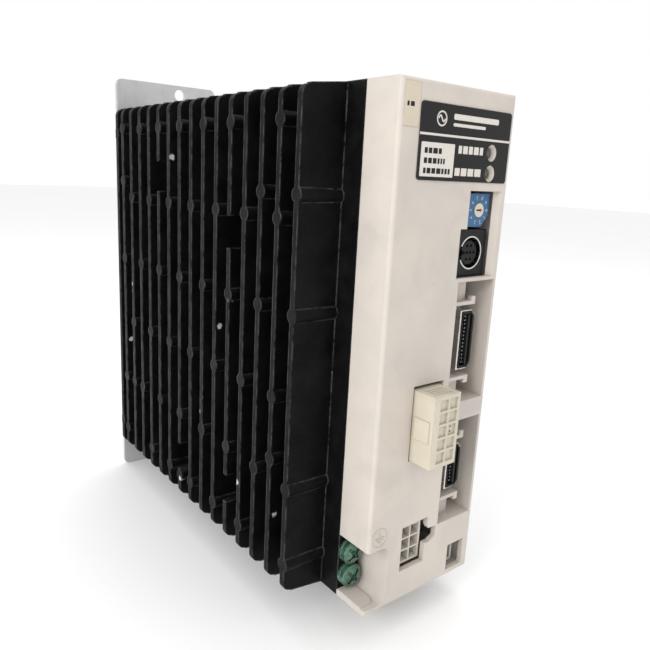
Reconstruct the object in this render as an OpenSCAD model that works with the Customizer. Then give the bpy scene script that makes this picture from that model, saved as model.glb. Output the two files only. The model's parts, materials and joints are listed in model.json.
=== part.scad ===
// Panel-mounted servo drive: a die-cast heat sink with vertical fins on its left side, a
// folded sheet-steel shell on the other three sides and a moulded front full of connectors.
//
// Everything is drawn in the housing's own frame: x runs from the cover's left face to the
// right, y from the front face to the back, z up from the bottom. placed() then moves it,
// so the origin is midway between the two fixing holes, on the back face of the rear plate.

/* [Housing] */
// Height of the housing
body_h = 160; // [160:1:200]
// Width of the housing without its fins
body_w = 49; // [49:1:60]
// Depth from the front face to the rear plate
body_d = 161; // [134:1:200]
// Depth of the moulded front cover
cover_d = 13.5; // [11.5:0.5:16.5]
// Wall of the front cover
cover_wall = 1.8; // [1.5:0.1:2.2]
// Radius of the cover's front edges
cover_r = 1.2; // [0.5:0.1:1.6]
// Thickness of the folded steel shell
sheet_t = 1.2; // [1:0.1:1.5]

/* [Heat sink] */
// Thickness of the heat sink's base plate
base_t = 4; // [3.3:0.1:5]
// Reach of the fins from the base plate
fin_l = 15.5; // [12:0.5:20]
// Distance from fin to fin
fin_pitch = 9.3; // [7.8:0.1:11.2]
// Fin thickness at its tip
fin_tip = 2; // [1.6:0.1:2.4]
// Fin thickness at its root
fin_root = 2.8; // [2.4:0.1:3.4]
// Diameter of the ejector-pin bosses on the fins
boss_d = 4.6; // [3.8:0.1:5.6]

/* [Rear plate] */
// Thickness of the rear mounting plate
plate_t = 1.6; // [1.3:0.1:2.3]
// Reach of the plate's ears above and below the housing
ear_out = 11.2; // [11:0.2:14]
// Distance of each fixing hole from the housing's end
hole_out = 7; // [6:0.5:8]
// Diameter of the fixing holes
hole_d = 5.2; // [4.3:0.1:6.2]
// Fixing holes' distance from the cover's left face
hole_x = 15.5; // [5:0.5:20]

/* [Boards] */
// Thickness of the circuit boards
board_t = 1.6; // [1.3:0.1:2]
// Gap between the heat sink's base and the power board
power_gap = 7.5; // [7.3:0.1:9]
// Gap between the control board and the shell's right wall
control_gap = 2.2; // [2.2:0.1:3]
// Diameter of the bus capacitors
capacitor_d = 25; // [20:1:30]

/* [Connectors] */
// Contact pitch of the signal ports
signal_pitch = 1.27; // [1:0.01:1.3]
// Contact pitch of the power plug and the headers
power_pitch = 4.2; // [3.96:0.01:4.3]
// Clearance of the power plug in its header and its window
plug_gap = 0.25; // [0.2:0.05:0.35]
// Diameter of the address switch's dial
dial_d = 4.3; // [3.6:0.1:5.2]

/* [Earth terminal] */
// Thread diameter of the earth screws
earth_d = 4; // [3.4:0.1:4.4]
// Distance between the two earth screws
earth_pitch = 8.4; // [8.2:0.1:9]

/* [Hidden] */
$fn = 48;
eps = 0.01;
run_gap = 0.05;          // radial clearance of a shaft or a screw in its bore
m3 = 3;
m3_clear = 3.4;

// Fins
seam = cover_d;                              // where the cover meets the metal
heat_d = body_d - seam;                      // length of the base plate
first_fin = 9.5;                             // first fin's centre behind the seam
fin_count = floor((heat_d - first_fin - fin_root) / fin_pitch) + 1;
fin_draft = 1.9;                             // how much shorter a fin is at its tip, each end
fin_corner = 3;                              // radius of a fin's outer corners
rear_fin_y = body_d - fin_root / 2;
function fin_y(i) = seam + first_fin + (i - 1) * fin_pitch;

// Ejector bosses stand in two staggered sets of heights; the outer fins have their own.
set_odd = [149, 93.1, 37.4];
set_even = [120.8, 65.3, 11.4];
function boss_heights(i) =
    i == 1 ? [128.1, 93.1, 37.4, 11.4] :
    i == 2 ? [149, 120.8, 65.3, 44.3] :
    i == 3 ? [128.1, 93.1, 37.4] :
    i == 9 ? concat(set_odd, [10.5]) :
    i == 14 ? [120.8, 65.3, 37.4] :
    i == fin_count ? [149.7, 127.5, 93.1, 37.4, 11.4] :
    i % 2 == 1 ? set_odd : set_even;
rear_bosses = [147.6, 13.2];

// Access cut-outs through the fins, each [fin, height, length]; a base screw stands in each.
cutouts = [[5, 114.1, 10.8], [5, 21.5, 10.4], [11, 130.5, 11.5], [9, 19, 11.1]];
base_screw_places = [for (c = cutouts) [fin_y(c[0]), c[1]]];

// Rear plate
plate_left = -14.5;
ear_right = 33.5;
plate_corner = 2.5;

// Boards
power_x = base_t + power_gap;                // power board's lower face
power_top = power_x + board_t;
control_x = body_w - sheet_t - control_gap - board_t;  // control board's component face
control_back = control_x + board_t;
board_front = seam + 3.5;
board_back = body_d - 5;
board_margin = 4;
link_places = [[36, 33], [36, 145], [146, 17], [146, 143]];
function from_back(y) = y + body_d - 161;    // keeps a rear part's distance from the plate
function from_top(z) = z + body_h - 160;     // keeps a high part's distance from the top
function from_right(x) = x + body_w - 49;    // keeps a connector's distance from the right
function link_at(p) = [p[0] > 80 ? from_back(p[0]) : p[0], p[1] > 80 ? from_top(p[1]) : p[1]];

// Front openings
recess_x = body_w - cover_wall;              // right wall of the connector recesses
io_left = from_right(30);                    // left walls of the two recesses
encoder_left = from_right(31);
io_z = 84;                                   // centre of the 26-way port
io_rows = 13;
encoder_z = 39.9;                            // centre of the 20-way port
encoder_rows = 10;
recess_end = 12.15;                          // from the last contact to the recess's end
web_end = 4.8;                               // from the last contact to the cover's web
web_t = 1.2;
function half_span(rows) = (rows - 1) * signal_pitch / 2;

port_x = from_right(39.6);                            // visible row of contacts
port_front = 2.6;
port_back = board_front + 5;

din_x = from_right(37.3);
din_z = 112.3;
din_r = 5.2;
switch_x = from_right(39.2);
switch_z = 125.4;
switch_w = 9.6;
switch_h = 10.1;
window_right = from_right(44.6);
din_left = from_right(28.6);
switch_left = from_right(31.5);
window_mid = 119.9;
window_bottom = 104.9;
window_top = 131.2;

// Nameplate and lights, from the top of the housing
plate_z0 = body_h - 26.3;
plate_z1 = body_h - 5.6;
plate_x0 = 7.6;
plate_x1 = body_w - 1.9;
light_x = body_w - 9.8;
light_z = [body_h - 17.6, body_h - 23.6];
light_r = 1.5;
bevel_r = 2.45;
label_t = 0.15;
nameplate_t = 0.3;

// Power plug and headers
cell = power_pitch - 0.6;                    // opening of a header's cell
plug_cols = 2;
plug_rows = 5;
motor_rows = 3;
plug_x = 21.1;                               // centre of the plug's contacts
plug_z = 60.65;
motor_x = 20.3;
motor_z = 18.1;
plug_w = plug_cols * power_pitch + 3;
plug_x0 = plug_x - plug_cols * power_pitch / 2 - 2.3;
plug_x1 = plug_x0 + plug_w;
plug_half = plug_rows * power_pitch / 2 + 0.95;
plug_front = -8.2;
plug_reach = 12;                             // how far its fingers go into the header
header_front = 2.2;
header_back = 15;
pin_w = 1;

// Earth terminal
pocket_w = 8.7;
pocket_z0 = 1.95;
pocket_z1 = 21.9;
pocket_r = 3;
floor_step = 0.35;
floor_step_x = 6.2;
floor_step_y = 1.9;
earth_x = 4;
earth_z = 11.1;                              // midway between the two screws
earth_head_d = 2 * earth_d - 0.2;
earth_head_h = 2.9;
earth_dome = 1.2;                            // how far the head's edge lies behind its crown
earth_slot = 1.2;
washer_t = 0.9;
earth_len = 10;

// Monitor header
monitor_x = from_right(38.4);
monitor_z = 6.9;

// ---- Helpers ----------------------------------------------------------------------------

// Moves the housing's frame to the row's origin
module placed() {
    translate([-hole_x, -(body_d + plate_t), -body_h / 2]) children();
}

// A box from one corner to the other
module box(a, b) {
    translate(a) cube(b - a);
}

// A rectangle from a to b with true arcs of radius r at its corners
module round_rect(a, b, r) {
    w = b[0] - a[0];
    h = b[1] - a[1];
    translate(a) {
        translate([r, 0]) square([w - 2 * r, h]);
        translate([0, r]) square([w, h - 2 * r]);
        for (x = [r, w - r], y = [r, h - r]) translate([x, y]) circle(r);
    }
}

// A w by d rectangle whose two corners at y = 0 are rounded
module round_front(w, d, r) {
    translate([r, 0]) square([w - 2 * r, d]);
    translate([0, r]) square([w, d - r]);
    for (x = [r, w - r]) translate([x, r]) circle(r);
}

// Extrudes an x-z outline from y0 back to y1
module back(y0, y1) {
    translate([0, y1, 0]) rotate([90, 0, 0]) linear_extrude(y1 - y0) children();
}

// Extrudes a y-z outline from x0 to x1
module across(x0, x1) {
    translate([x0, 0, 0]) rotate([90, 0, 90]) linear_extrude(x1 - x0) children();
}

// A cylinder along +Y between y0 and y1 at [x, z]
module rod_y(x, z, y0, y1, r, r_end = undef) {
    translate([x, y0, z]) rotate([-90, 0, 0])
        cylinder(h = y1 - y0, r1 = r, r2 = is_undef(r_end) ? r : r_end);
}

// A cylinder along +X between x0 and x1 at [y, z]
module rod_x(y, z, x0, x1, r, r_end = undef) {
    translate([x0, y, z]) rotate([0, 90, 0])
        cylinder(h = x1 - x0, r1 = r, r2 = is_undef(r_end) ? r : r_end);
}

// A hexagonal bar along +X, 5.5 mm across its flats
module hex_x(y, z, x0, x1, flats = 5.5) {
    translate([x0, y, z]) rotate([0, 90, 0])
        cylinder(h = x1 - x0, d = flats / cos(30), $fn = 6);
}

// A pan-head M3 screw along X: its head stands on face x0, dir is the way its shank points
module screw_x(y, z, x0, dir, shank, head_h = 2, head_d = 5.6) {
    difference() {
        union() {
            if (dir > 0) {
                rod_x(y, z, x0 - head_h, x0, head_d / 2 - 0.5, head_d / 2);
                rod_x(y, z, x0, x0 + shank, m3 / 2 - run_gap);
            } else {
                rod_x(y, z, x0, x0 + head_h, head_d / 2, head_d / 2 - 0.5);
                rod_x(y, z, x0 - shank, x0, m3 / 2 - run_gap);
            }
        }
        slot_x = dir > 0 ? x0 - head_h - eps : x0 + head_h - 1.1;
        for (a = [0, 90])
            translate([slot_x, y, z]) rotate([a, 0, 0])
                translate([0, -1.5, -0.35]) cube([1.1 + eps, 3, 0.7]);
    }
}

// ---- Housing ----------------------------------------------------------------------------

// The cover's solid outer form: every front edge is rounded
module cover_block() {
    intersection() {
        linear_extrude(body_h) round_front(body_w, cover_d, cover_r);
        across(0, body_w) mirror([1, -1]) round_front(body_h, cover_d, cover_r);
    }
}

// A thin-walled box behind a front opening, from x0 to the right wall
module recess_walls(x0, z0, z1, top) {
    box([x0 - web_t, cover_wall - eps, z0 - web_t], [recess_x + eps, cover_d - 1.5, z1 + top]);
}

module recess_hole(x0, z0, z1) {
    box([x0, -1, z0], [recess_x, cover_d, z1]);
}

// A web above or below a port, with a small hooked end
module port_web(x0, z, up) {
    box([x0 - eps, 2, z - web_t / 2], [x0 + 11.5, cover_d - 1.5, z + web_t / 2]);
    box([x0 + 9.6, 2, z - (up ? 0 : 2)], [x0 + 11.5, 3.4, z + (up ? 2 : 0)]);
}

// The post that stands between a web and the recess's end
module port_post(x0, z0, z1) {
    box([x0 + 5.8, 4.6, z0], [x0 + 9.4, cover_d - 1.5, z1]);
}

module port_recess_parts(x0, z, rows) {
    far = half_span(rows) + recess_end;
    web = half_span(rows) + web_end;
    port_web(x0, z + web, true);
    port_web(x0, z - web, false);
    port_post(x0, z + web, z + far + eps);
    port_post(x0, z - far - eps, z - web);
}

// A snap hook that reaches back into the shell, drawn along the right wall
module hook(z) {
    box([recess_x - 0.9, cover_d - 4, z - 3], [body_w - sheet_t - 0.2, cover_d + 6, z + 3]);
    box([body_w - sheet_t - 0.3, cover_d + 3.4, z - 2.6], [body_w - 0.5, cover_d + 5.6, z + 2.6]);
}

hook_heights = [30, 62, body_h - 30];

module motor_window() {
    polygon([
        [14.3, 10.6], [25.3, 10.6], [25.3, 16.9], [27.7, 16.9], [30.2, 18.2], [30.2, 21.6],
        [28.6, 22.1], [26.7, 22.1], [26, 23.2], [26, 26.4], [14.3, 26.4]
    ]);
}

module front_cover() {
    color([0.84, 0.81, 0.77])
    difference() {
        union() {
            difference() {
                cover_block();
                box([cover_wall, cover_wall, cover_wall],
                    [body_w - cover_wall, cover_d + 1, body_h - cover_wall]);
            }
            // walls around the earth pocket
            box([0, cover_r, 0], [pocket_w + 1.5, cover_d, pocket_z1 + 1.5]);
            // walls around the two port recesses
            recess_walls(io_left, io_z - half_span(io_rows) - recess_end,
                io_z + half_span(io_rows) + recess_end, 0.5);
            recess_walls(encoder_left, encoder_z - half_span(encoder_rows) - recess_end,
                encoder_z + half_span(encoder_rows) + recess_end, web_t);
            // collar behind each light
            for (z = light_z) rod_y(light_x, z, cover_wall - eps, 5, bevel_r + 0.6);
            for (z = hook_heights) hook(z);
        }
        // earth pocket, open to the front and the left
        back(-1, cover_d + 1) {
            round_rect([-9, pocket_z0], [pocket_w, pocket_z1], pocket_r);
        }
        // port recesses
        recess_hole(io_left, io_z - half_span(io_rows) - recess_end,
            io_z + half_span(io_rows) + recess_end);
        recess_hole(encoder_left, encoder_z - half_span(encoder_rows) - recess_end,
            encoder_z + half_span(encoder_rows) + recess_end);
        // address switch and serial port
        box([switch_left, -1, window_mid], [window_right, cover_wall + 1, window_top]);
        box([din_left, -1, window_bottom], [window_right, cover_wall + 1, window_mid + eps]);
        translate([0, 0, window_bottom]) linear_extrude(window_top - window_bottom)
            polygon([[window_right - 1, -1], [window_right + 2.8, -1], [window_right + 1.8, 0],
                [window_right, cover_wall], [window_right - 1, cover_wall]]);
        // power plug
        box([plug_x0 - plug_gap - 0.2, -1, plug_z - plug_half - plug_gap],
            [plug_x1 + plug_gap, cover_wall + 1, plug_z + plug_half + plug_gap + 0.8]);
        box([plug_x1 - 1, -1, plug_z + plug_half - 1.2],
            [plug_x1 + 1.3, cover_wall + 1, plug_z + plug_half + plug_gap + 0.8]);
        // motor header
        back(-1, cover_wall + 1) motor_window();
        // monitor header
        back(-1, cover_wall + 1)
            round_rect([monitor_x - 0.8, monitor_z - 4.6], [monitor_x + 7.3, monitor_z + 5], 0.4);
        // lights: a cone outside, a plain bore behind it
        for (z = light_z) {
            rod_y(light_x, z, -eps, cover_wall - 0.6, bevel_r, light_r + 0.2);
            rod_y(light_x, z, 0, 6, light_r + 0.2);
        }
    }
    color([0.84, 0.81, 0.77]) {
        port_recess_parts(io_left, io_z, io_rows);
        port_recess_parts(encoder_left, encoder_z, encoder_rows);
        // low step on the pocket's floor, rounded at its front corner
        translate([0, 0, pocket_z0 - 0.5]) linear_extrude(0.5 + floor_step) intersection() {
            round_rect([-4, floor_step_y], [floor_step_x, cover_d + 4], pocket_r);
            translate([eps, 0]) square([pocket_w, cover_d - 0.3]);
        }
    }
}

// One fin: a drafted outline seen from the front of the fin, thinner at its tip
module fin(y, length, tip, root, foot = 0) {
    intersection() {
        back(y - root, y + root) {
            difference() {
                polygon([[0.5, 0], [0.5, body_h], [-length, body_h - fin_draft],
                    [-length, fin_draft]]);
                for (end = [0, 1])
                    translate([0, end * body_h]) mirror([0, end])
                        translate([-length, fin_draft]) difference() {
                            translate([-1, -1]) square([fin_corner + 1, fin_corner + 1]);
                            translate([fin_corner, fin_corner]) circle(fin_corner);
                        }
            }
        }
        translate([0, y, -1]) linear_extrude(body_h + 2)
            polygon([[0.5, -root / 2 - foot], [0.5, root / 2], [-length - 1, tip / 2],
                [-length - 1, -tip / 2 - foot]]);
    }
}

module fin_bosses(y, heights) {
    for (z = heights) rod_x(y, z, -fin_l, 0.5, boss_d / 2);
}

// A tapped lug on the inside of the base plate
module lug(a, b) {
    box([base_t - 0.5, a[0], a[1]], [power_x - 0.5, b[0], b[1]]);
}

shell_lug_y = [seam + 16, from_back(143)];
plate_lug_z = [14, body_h - 14];
lug_x = base_t + 3.5;
module_y = [66, 126];
module_z = 62;
module_screw_y = [module_y[0] + 5, module_y[1] - 5];
rectifier_y = 84;
rectifier_z = 98;

module heat_sink() {
    color([0.1, 0.1, 0.11])
    difference() {
        union() {
            box([0, seam, 0], [base_t, body_d, body_h]);
            difference() {
                for (i = [1:fin_count]) {
                    fin(fin_y(i), fin_l, fin_tip, fin_root);
                    fin_bosses(fin_y(i), boss_heights(i));
                }
                for (c = cutouts)
                    across(-fin_l - 5, 0)
                        round_rect([fin_y(c[0]) - 3.2, c[1] - c[2] / 2],
                            [fin_y(c[0]) + 3.2, c[1] + c[2] / 2], 1.2);
            }
            intersection() {
                union() {
                    fin(rear_fin_y, fin_l, fin_tip, fin_root);
                    for (z = rear_bosses) rod_x(rear_fin_y, z, -fin_l, 0.5, boss_d / 2);
                }
                box([-fin_l - 1, body_d - 20, -1], [base_t, body_d, body_h + 1]);
            }
            // earth pad, bare metal on its front face
            box([0, seam, sheet_t + 0.1], [9.2, seam + 11, 23]);
            for (y = shell_lug_y) {
                lug([y - 4, sheet_t + 0.1], [y + 4, 10]);
                lug([y - 4, body_h - 10], [y + 4, body_h - sheet_t - 0.1]);
            }
            for (z = plate_lug_z) lug([body_d - 10, z - 5], [body_d, z + 5]);
        }
        for (p = base_screw_places) rod_x(p[0], p[1], -1, base_t + 1, m3_clear / 2);
        for (k = [-0.5, 0.5])
            rod_y(earth_x, earth_z + k * earth_pitch, seam - 1, seam + earth_len,
                earth_d / 2 + run_gap);
        for (y = shell_lug_y) {
            rod_z(lug_x, y, -1, 9, m3 / 2);
            rod_z(lug_x, y, body_h - 9, body_h + 1, m3 / 2);
        }
        for (z = plate_lug_z) rod_y(lug_x, z, body_d - 8.5, body_d + 1, m3 / 2);
        for (y = module_screw_y) rod_x(y, module_z, 0.6, base_t + 1, m3 / 2);
        rod_x(rectifier_y, rectifier_z, 0.6, base_t + 1, m3 / 2);
    }
}

// A cylinder along +Z between z0 and z1 at [x, y]
module rod_z(x, y, z0, z1, r, r_end = undef) {
    translate([x, y, z0]) cylinder(h = z1 - z0, r1 = r, r2 = is_undef(r_end) ? r : r_end);
}

vent_l = 14;
vent_w = 2.4;
vent_pitch = 5;
vent_count = floor((heat_d - 40) / vent_pitch);

module side_shell() {
    color([0.78, 0.79, 0.8])
    difference() {
        union() {
            // C-shaped section, open to the left
            back(seam, body_d) intersection() {
                difference() {
                    round_rect([-20, 0], [body_w, body_h], 0.9);
                    round_rect([-22, sheet_t], [body_w - sheet_t, body_h - sheet_t], 0.4);
                }
                translate([base_t, -1]) square([body_w, body_h + 2]);
            }
            // flange folded inwards along the rear edge
            box([body_w - 11, body_d - sheet_t, sheet_t - 0.2],
                [body_w - sheet_t + 0.2, body_d, body_h - sheet_t + 0.2]);
        }
        // vents in the top and the bottom
        for (x = [17, 34], k = [0:vent_count - 1], z = [-1, body_h - 2])
            translate([x - vent_l / 2 + 1, seam + 24 + k * vent_pitch, z])
                linear_extrude(3) round_rect([0, 0], [vent_l, vent_w], vent_w / 2 - 0.1);
        // vents in the right side
        for (k = [0:vent_count - 1], z = [12, body_h - 30])
            across(body_w - 2, body_w + 1)
                round_rect([seam + 24 + k * vent_pitch, z],
                    [seam + 24 + k * vent_pitch + vent_w, z + 18], vent_w / 2 - 0.1);
        // windows for the cover's hooks
        for (z = hook_heights)
            box([body_w - sheet_t - 1, cover_d + 3.1, z - 3], [body_w + 1, cover_d + 6, z + 3]);
        // countersinks for the shell screws
        for (y = shell_lug_y) {
            rod_z(lug_x, y, -1, sheet_t + 0.3, m3 / 2 + 0.05);
            rod_z(lug_x, y, body_h - sheet_t - 0.3, body_h + 1, m3 / 2 + 0.05);
            rod_z(lug_x, y, -eps, sheet_t, 2.9, m3 / 2 + 0.05);
            rod_z(lug_x, y, body_h - sheet_t, body_h + eps, m3 / 2 + 0.05, 2.9);
        }
        for (z = flange_screw_z) rod_y(flange_x, z, body_d - 2, body_d + 1, m3 / 2);
    }
}

flange_x = body_w - 6;
flange_screw_z = [32, body_h - 32];

module rear_plate() {
    color([0.8, 0.8, 0.8])
    difference() {
        back(body_d, body_d + plate_t) difference() {
            union() {
                round_rect([plate_left, 0], [body_w, body_h], 1);
                round_rect([plate_left, -ear_out], [ear_right, body_h + ear_out], plate_corner);
            }
            for (z = [-hole_out, body_h + hole_out]) translate([hole_x, z]) circle(d = hole_d);
        }
        for (p = plate_screw_places) {
            rod_y(p[0], p[1], body_d - 1, body_d + plate_t + 1, m3 / 2 + 0.05);
            rod_y(p[0], p[1], body_d + plate_t - 1.4, body_d + plate_t + eps, m3 / 2 + 0.05, 2.9);
        }
    }
}

plate_screw_places = concat([for (z = plate_lug_z) [lug_x, z]],
    [for (z = flange_screw_z) [flange_x, z]]);

// A countersunk screw along Y, its head flush with the rear plate's back face
module plate_screws() {
    for (p = plate_screw_places) {
        long = p[0] < 20 ? 7 : 3.5;
        difference() {
            union() {
                rod_y(p[0], p[1], body_d + plate_t - 1.3, body_d + plate_t - 0.1,
                    m3 / 2 - run_gap, 2.7);
                rod_y(p[0], p[1], body_d - long, body_d + plate_t - 1.2, m3 / 2 - run_gap);
            }
            for (a = [0, 90])
                translate([p[0], body_d + plate_t - 0.7, p[1]]) rotate([0, a, 0])
                    translate([-1.5, 0, -0.3]) cube([3, 1, 0.6]);
        }
    }
}

module shell_screw(x, y) {
    difference() {
        union() {
            rod_z(x, y, 0.1, 1.2, 2.7, m3 / 2 - run_gap);
            rod_z(x, y, 1.1, 8, m3 / 2 - run_gap);
        }
        for (a = [0, 90])
            translate([x, y, -0.5]) rotate([0, 0, a]) translate([-1.5, -0.3, 0])
                cube([3, 0.6, 1.2]);
    }
}

// The countersunk screws that close the case: four in the shell, four in the rear plate
module case_screws() {
    color("gray") {
        for (y = shell_lug_y) {
            shell_screw(lug_x, y);
            translate([0, 0, body_h]) mirror([0, 0, 1]) shell_screw(lug_x, y);
        }
        plate_screws();
    }
}

// ---- Labels and lights ------------------------------------------------------------------

module nameplate() {
    color([0.17, 0.16, 0.17])
    back(-nameplate_t, 0) difference() {
        round_rect([plate_x0, plate_z0], [plate_x1, plate_z1], 1);
        for (z = light_z) translate([light_x, z]) circle(bevel_r);
    }
}

module front_label() {
    color("white")
    back(-nameplate_t - label_t, -nameplate_t)
        round_rect([plate_x0 + 0.9, plate_z0 + 1], [plate_x0 + 14.5, plate_z0 + 10.2], 0.3);
}

module corner_label() {
    color([0.84, 0.8, 0.73])
    back(-label_t, 0)
        round_rect([cover_r, body_h - 12.6], [7, body_h - cover_r], 0.3);
}

module side_label() {
    color([0.9, 0.9, 0.88])
    across(body_w, body_w + label_t)
        round_rect([seam + 38, body_h / 2 - 28], [seam + 108, body_h / 2 + 24], 1.5);
}

light_front = 0.9;
led_y = board_front + 2;

module status_lights() {
    color([0.8, 0.85, 0.8])
    for (z = light_z) {
        intersection() {
            translate([light_x, light_front + light_r, z]) sphere(light_r);
            box([light_x - 3, light_front - 1, z - 3], [light_x + 3, light_front + light_r, z + 3]);
        }
        rod_y(light_x, z, light_front + light_r, led_y, light_r);
    }
}

module status_leds() {
    color([0.5, 0.8, 0.4])
    for (z = light_z)
        box([light_x - 1.6, led_y, z - 1.6], [control_x, led_y + 4, z + 1.6]);
}

// ---- Boards and what holds them ---------------------------------------------------------

module board(x, z0, z1, back_edge) {
    across(x, x + board_t) round_rect([board_front, z0], [back_edge, z1], 1.5);
}

module power_board() {
    color([0.1, 0.35, 0.2])
    difference() {
        board(power_x, board_margin, body_h - board_margin, board_back);
        for (p = base_screw_places) rod_x(p[0], p[1], power_x - 1, power_top + 1, m3_clear / 2);
        for (p = link_places)
            rod_x(link_at(p)[0], link_at(p)[1], power_x - 1, power_top + 1, m3_clear / 2);
    }
}

module control_board() {
    color([0.08, 0.4, 0.25])
    difference() {
        board(control_x, 2.6, body_h - board_margin, board_back - 2);
        for (p = link_places)
            rod_x(link_at(p)[0], link_at(p)[1], control_x - 1, control_back + 1, m3_clear / 2);
    }
}

module insulation_sheet() {
    color([0.9, 0.9, 0.85, 0.8])
    across(body_w - sheet_t - 0.5, body_w - sheet_t - 0.2)
        round_rect([board_front + 6, 4], [board_back - 2, body_h - 4], 2);
}

module base_standoffs() {
    color("goldenrod")
    for (p = base_screw_places) difference() {
        hex_x(p[0], p[1], base_t, power_x);
        rod_x(p[0], p[1], base_t - 1, power_x + 1, m3 / 2);
    }
}

module link_standoffs() {
    color("goldenrod")
    for (p = link_places) {
        at = link_at(p);
        difference() {
            hex_x(at[0], at[1], power_top, control_x);
            rod_x(at[0], at[1], control_x - 9, control_x + 1, m3 / 2);
        }
        rod_x(at[0], at[1], power_x - 3, power_top + eps, m3 / 2 - run_gap);
    }
}

module standoff_nuts() {
    color("silver")
    for (p = link_places) {
        at = link_at(p);
        difference() {
            hex_x(at[0], at[1], power_x - 2.3, power_x);
            rod_x(at[0], at[1], power_x - 3, power_x + 1, m3 / 2);
        }
    }
}

module base_screws() {
    color("silver")
    for (p = base_screw_places) screw_x(p[0], p[1], 0, 1, base_t + power_gap / 2 - 0.3);
}

module power_board_screws() {
    color("silver")
    for (p = base_screw_places)
        screw_x(p[0], p[1], power_top, -1, board_t + power_gap / 2 - 0.3);
}

module control_board_screws() {
    color("silver")
    for (p = link_places)
        screw_x(link_at(p)[0], link_at(p)[1], control_back, -1, board_t + 6, 1.5);
}

// ---- Power parts ------------------------------------------------------------------------

module_h = 6.4;
module_half_z = 17;

module power_module() {
    color([0.12, 0.12, 0.13])
    difference() {
        box([base_t, module_y[0], module_z - module_half_z],
            [base_t + module_h, module_y[1], module_z + module_half_z]);
        for (y = module_screw_y) {
            rod_x(y, module_z, base_t - 1, base_t + module_h + 1, m3_clear / 2);
            rod_x(y, module_z, base_t + 3, base_t + module_h + 1, 3.4);
        }
    }
    // rows of leads up to the power board
    color("silver")
    for (k = [0:9], side = [-1, 1])
        box([base_t + module_h - eps, module_y[0] + 12 + k * 4, module_z + side * 15 - 0.4],
            [power_x, module_y[0] + 12.8 + k * 4, module_z + side * 15 + 0.4]);
}

module rectifier() {
    color([0.13, 0.13, 0.14])
    difference() {
        box([base_t, rectifier_y - 15, rectifier_z - 10],
            [base_t + 4.8, rectifier_y + 15, rectifier_z + 10]);
        rod_x(rectifier_y, rectifier_z, base_t - 1, base_t + 6, m3_clear / 2);
    }
    color("silver")
    for (k = [-1.5, -0.5, 0.5, 1.5])
        box([base_t + 4.8 - eps, rectifier_y + k * 7 - 0.6, rectifier_z - 8.5],
            [power_x, rectifier_y + k * 7 + 0.6, rectifier_z - 7.7]);
}

module module_screws() {
    color("silver") {
        for (y = module_screw_y) screw_x(y, module_z, base_t + 3, -1, 6);
        screw_x(rectifier_y, rectifier_z, base_t + 4.8, -1, 7.6, 1.8);
    }
}

capacitor_h = 27;
capacitor_places = [for (k = [0:2]) [from_back(136), 34 + k * (capacitor_d + 2.5)]];

// A can with a rolled edge and a scored vent on its top
module can(y, z, d, h) {
    difference() {
        union() {
            rod_x(y, z, power_top + 0.6, power_top + h - 0.8, d / 2);
            rod_x(y, z, power_top + h - 0.8, power_top + h, d / 2, d / 2 - 0.8);
            rod_x(y, z, power_top, power_top + 0.6, d / 2 - 1.2);
        }
        for (a = [0, 60, 120])
            translate([power_top + h - 0.4, y, z]) rotate([a, 0, 0])
                translate([0, -0.4 * d, -0.2]) cube([1, 0.8 * d, 0.4]);
        rod_x(y, z, power_top + h - 0.3, power_top + h + 1, d / 2 - 2.4);
    }
}

module bus_capacitors() {
    color([0.15, 0.2, 0.35])
    for (p = capacitor_places) can(p[0], p[1], capacitor_d, capacitor_h);
}

module filter_capacitors() {
    color([0.2, 0.2, 0.22])
    for (p = [[56, 130], [68, 130], [56, 142], [112, from_top(146)], [124, from_top(146)]])
        can(p[0], p[1], 8, 12.5);
}

module film_capacitors() {
    color([0.85, 0.75, 0.3])
    for (z = [30, 44]) box([power_top, 66, z], [power_top + 15, 92, z + 9]);
    color([0.3, 0.5, 0.75])
    box([power_top, 96, 84], [power_top + 12, 108, 92]);
}

core_y = 98;
core_z = 112;

// An E-shaped ferrite pair around the coil
module transformer_core() {
    color([0.25, 0.25, 0.27])
    difference() {
        box([power_top + 4, core_y - 6, core_z - 13], [power_top + 24, core_y + 6, core_z + 13]);
        for (side = [-1, 1])
            box([power_top + 7.5, core_y - 7, core_z + side * 6.6 - 3],
                [power_top + 20.5, core_y + 7, core_z + side * 6.6 + 3]);
    }
}

module transformer_coil() {
    color([0.9, 0.8, 0.35])
    difference() {
        box([power_top + 7.5, core_y - 9.5, core_z - 9.6], [power_top + 20.5, core_y + 9.5, core_z + 9.6]);
        box([power_top + 7, core_y - 6, core_z - 3.6], [power_top + 21, core_y + 6, core_z + 3.6]);
    }
    color([0.15, 0.15, 0.15])
    for (side = [-1, 1])
        box([power_top, core_y + side * 8.2 - 1.4, core_z - 9],
            [power_top + 7.5, core_y + side * 8.2 + 1.4, core_z + 9]);
}

choke_y = 58.5;
choke_z = 93;

module choke_core() {
    color([0.2, 0.25, 0.2])
    difference() {
        rod_x(choke_y, choke_z, power_top + 3, power_top + 13, 10.5);
        rod_x(choke_y, choke_z, power_top + 2, power_top + 14, 6);
    }
    color([0.15, 0.15, 0.15])
    difference() {
        rod_x(choke_y, choke_z, power_top, power_top + 1.6, 12.5);
        rod_x(choke_y, choke_z, power_top - 1, power_top + 3, 3);
    }
}

// Each turn is a square loop of wire around the ring
module choke_turn() {
    difference() {
        box([-6.4, 4.6, -0.5], [6.4, 11.9, 0.5]);
        box([-5, 6 - 0.05, -1], [5, 10.55, 1]);
    }
}

module choke_winding() {
    color([0.75, 0.4, 0.2])
    for (side = [0, 180], k = [-4:4])
        translate([power_top + 8, choke_y, choke_z]) rotate([side + k * 14, 0, 0]) choke_turn();
}

module relays() {
    color([0.15, 0.25, 0.45])
    for (z = [104, 121]) {
        difference() {
            box([power_top, 24, z], [power_top + 15.5, 43, z + 15]);
            across(power_top + 15, power_top + 16) round_rect([26, z + 2], [41, z + 13], 0.8);
        }
    }
}

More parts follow.
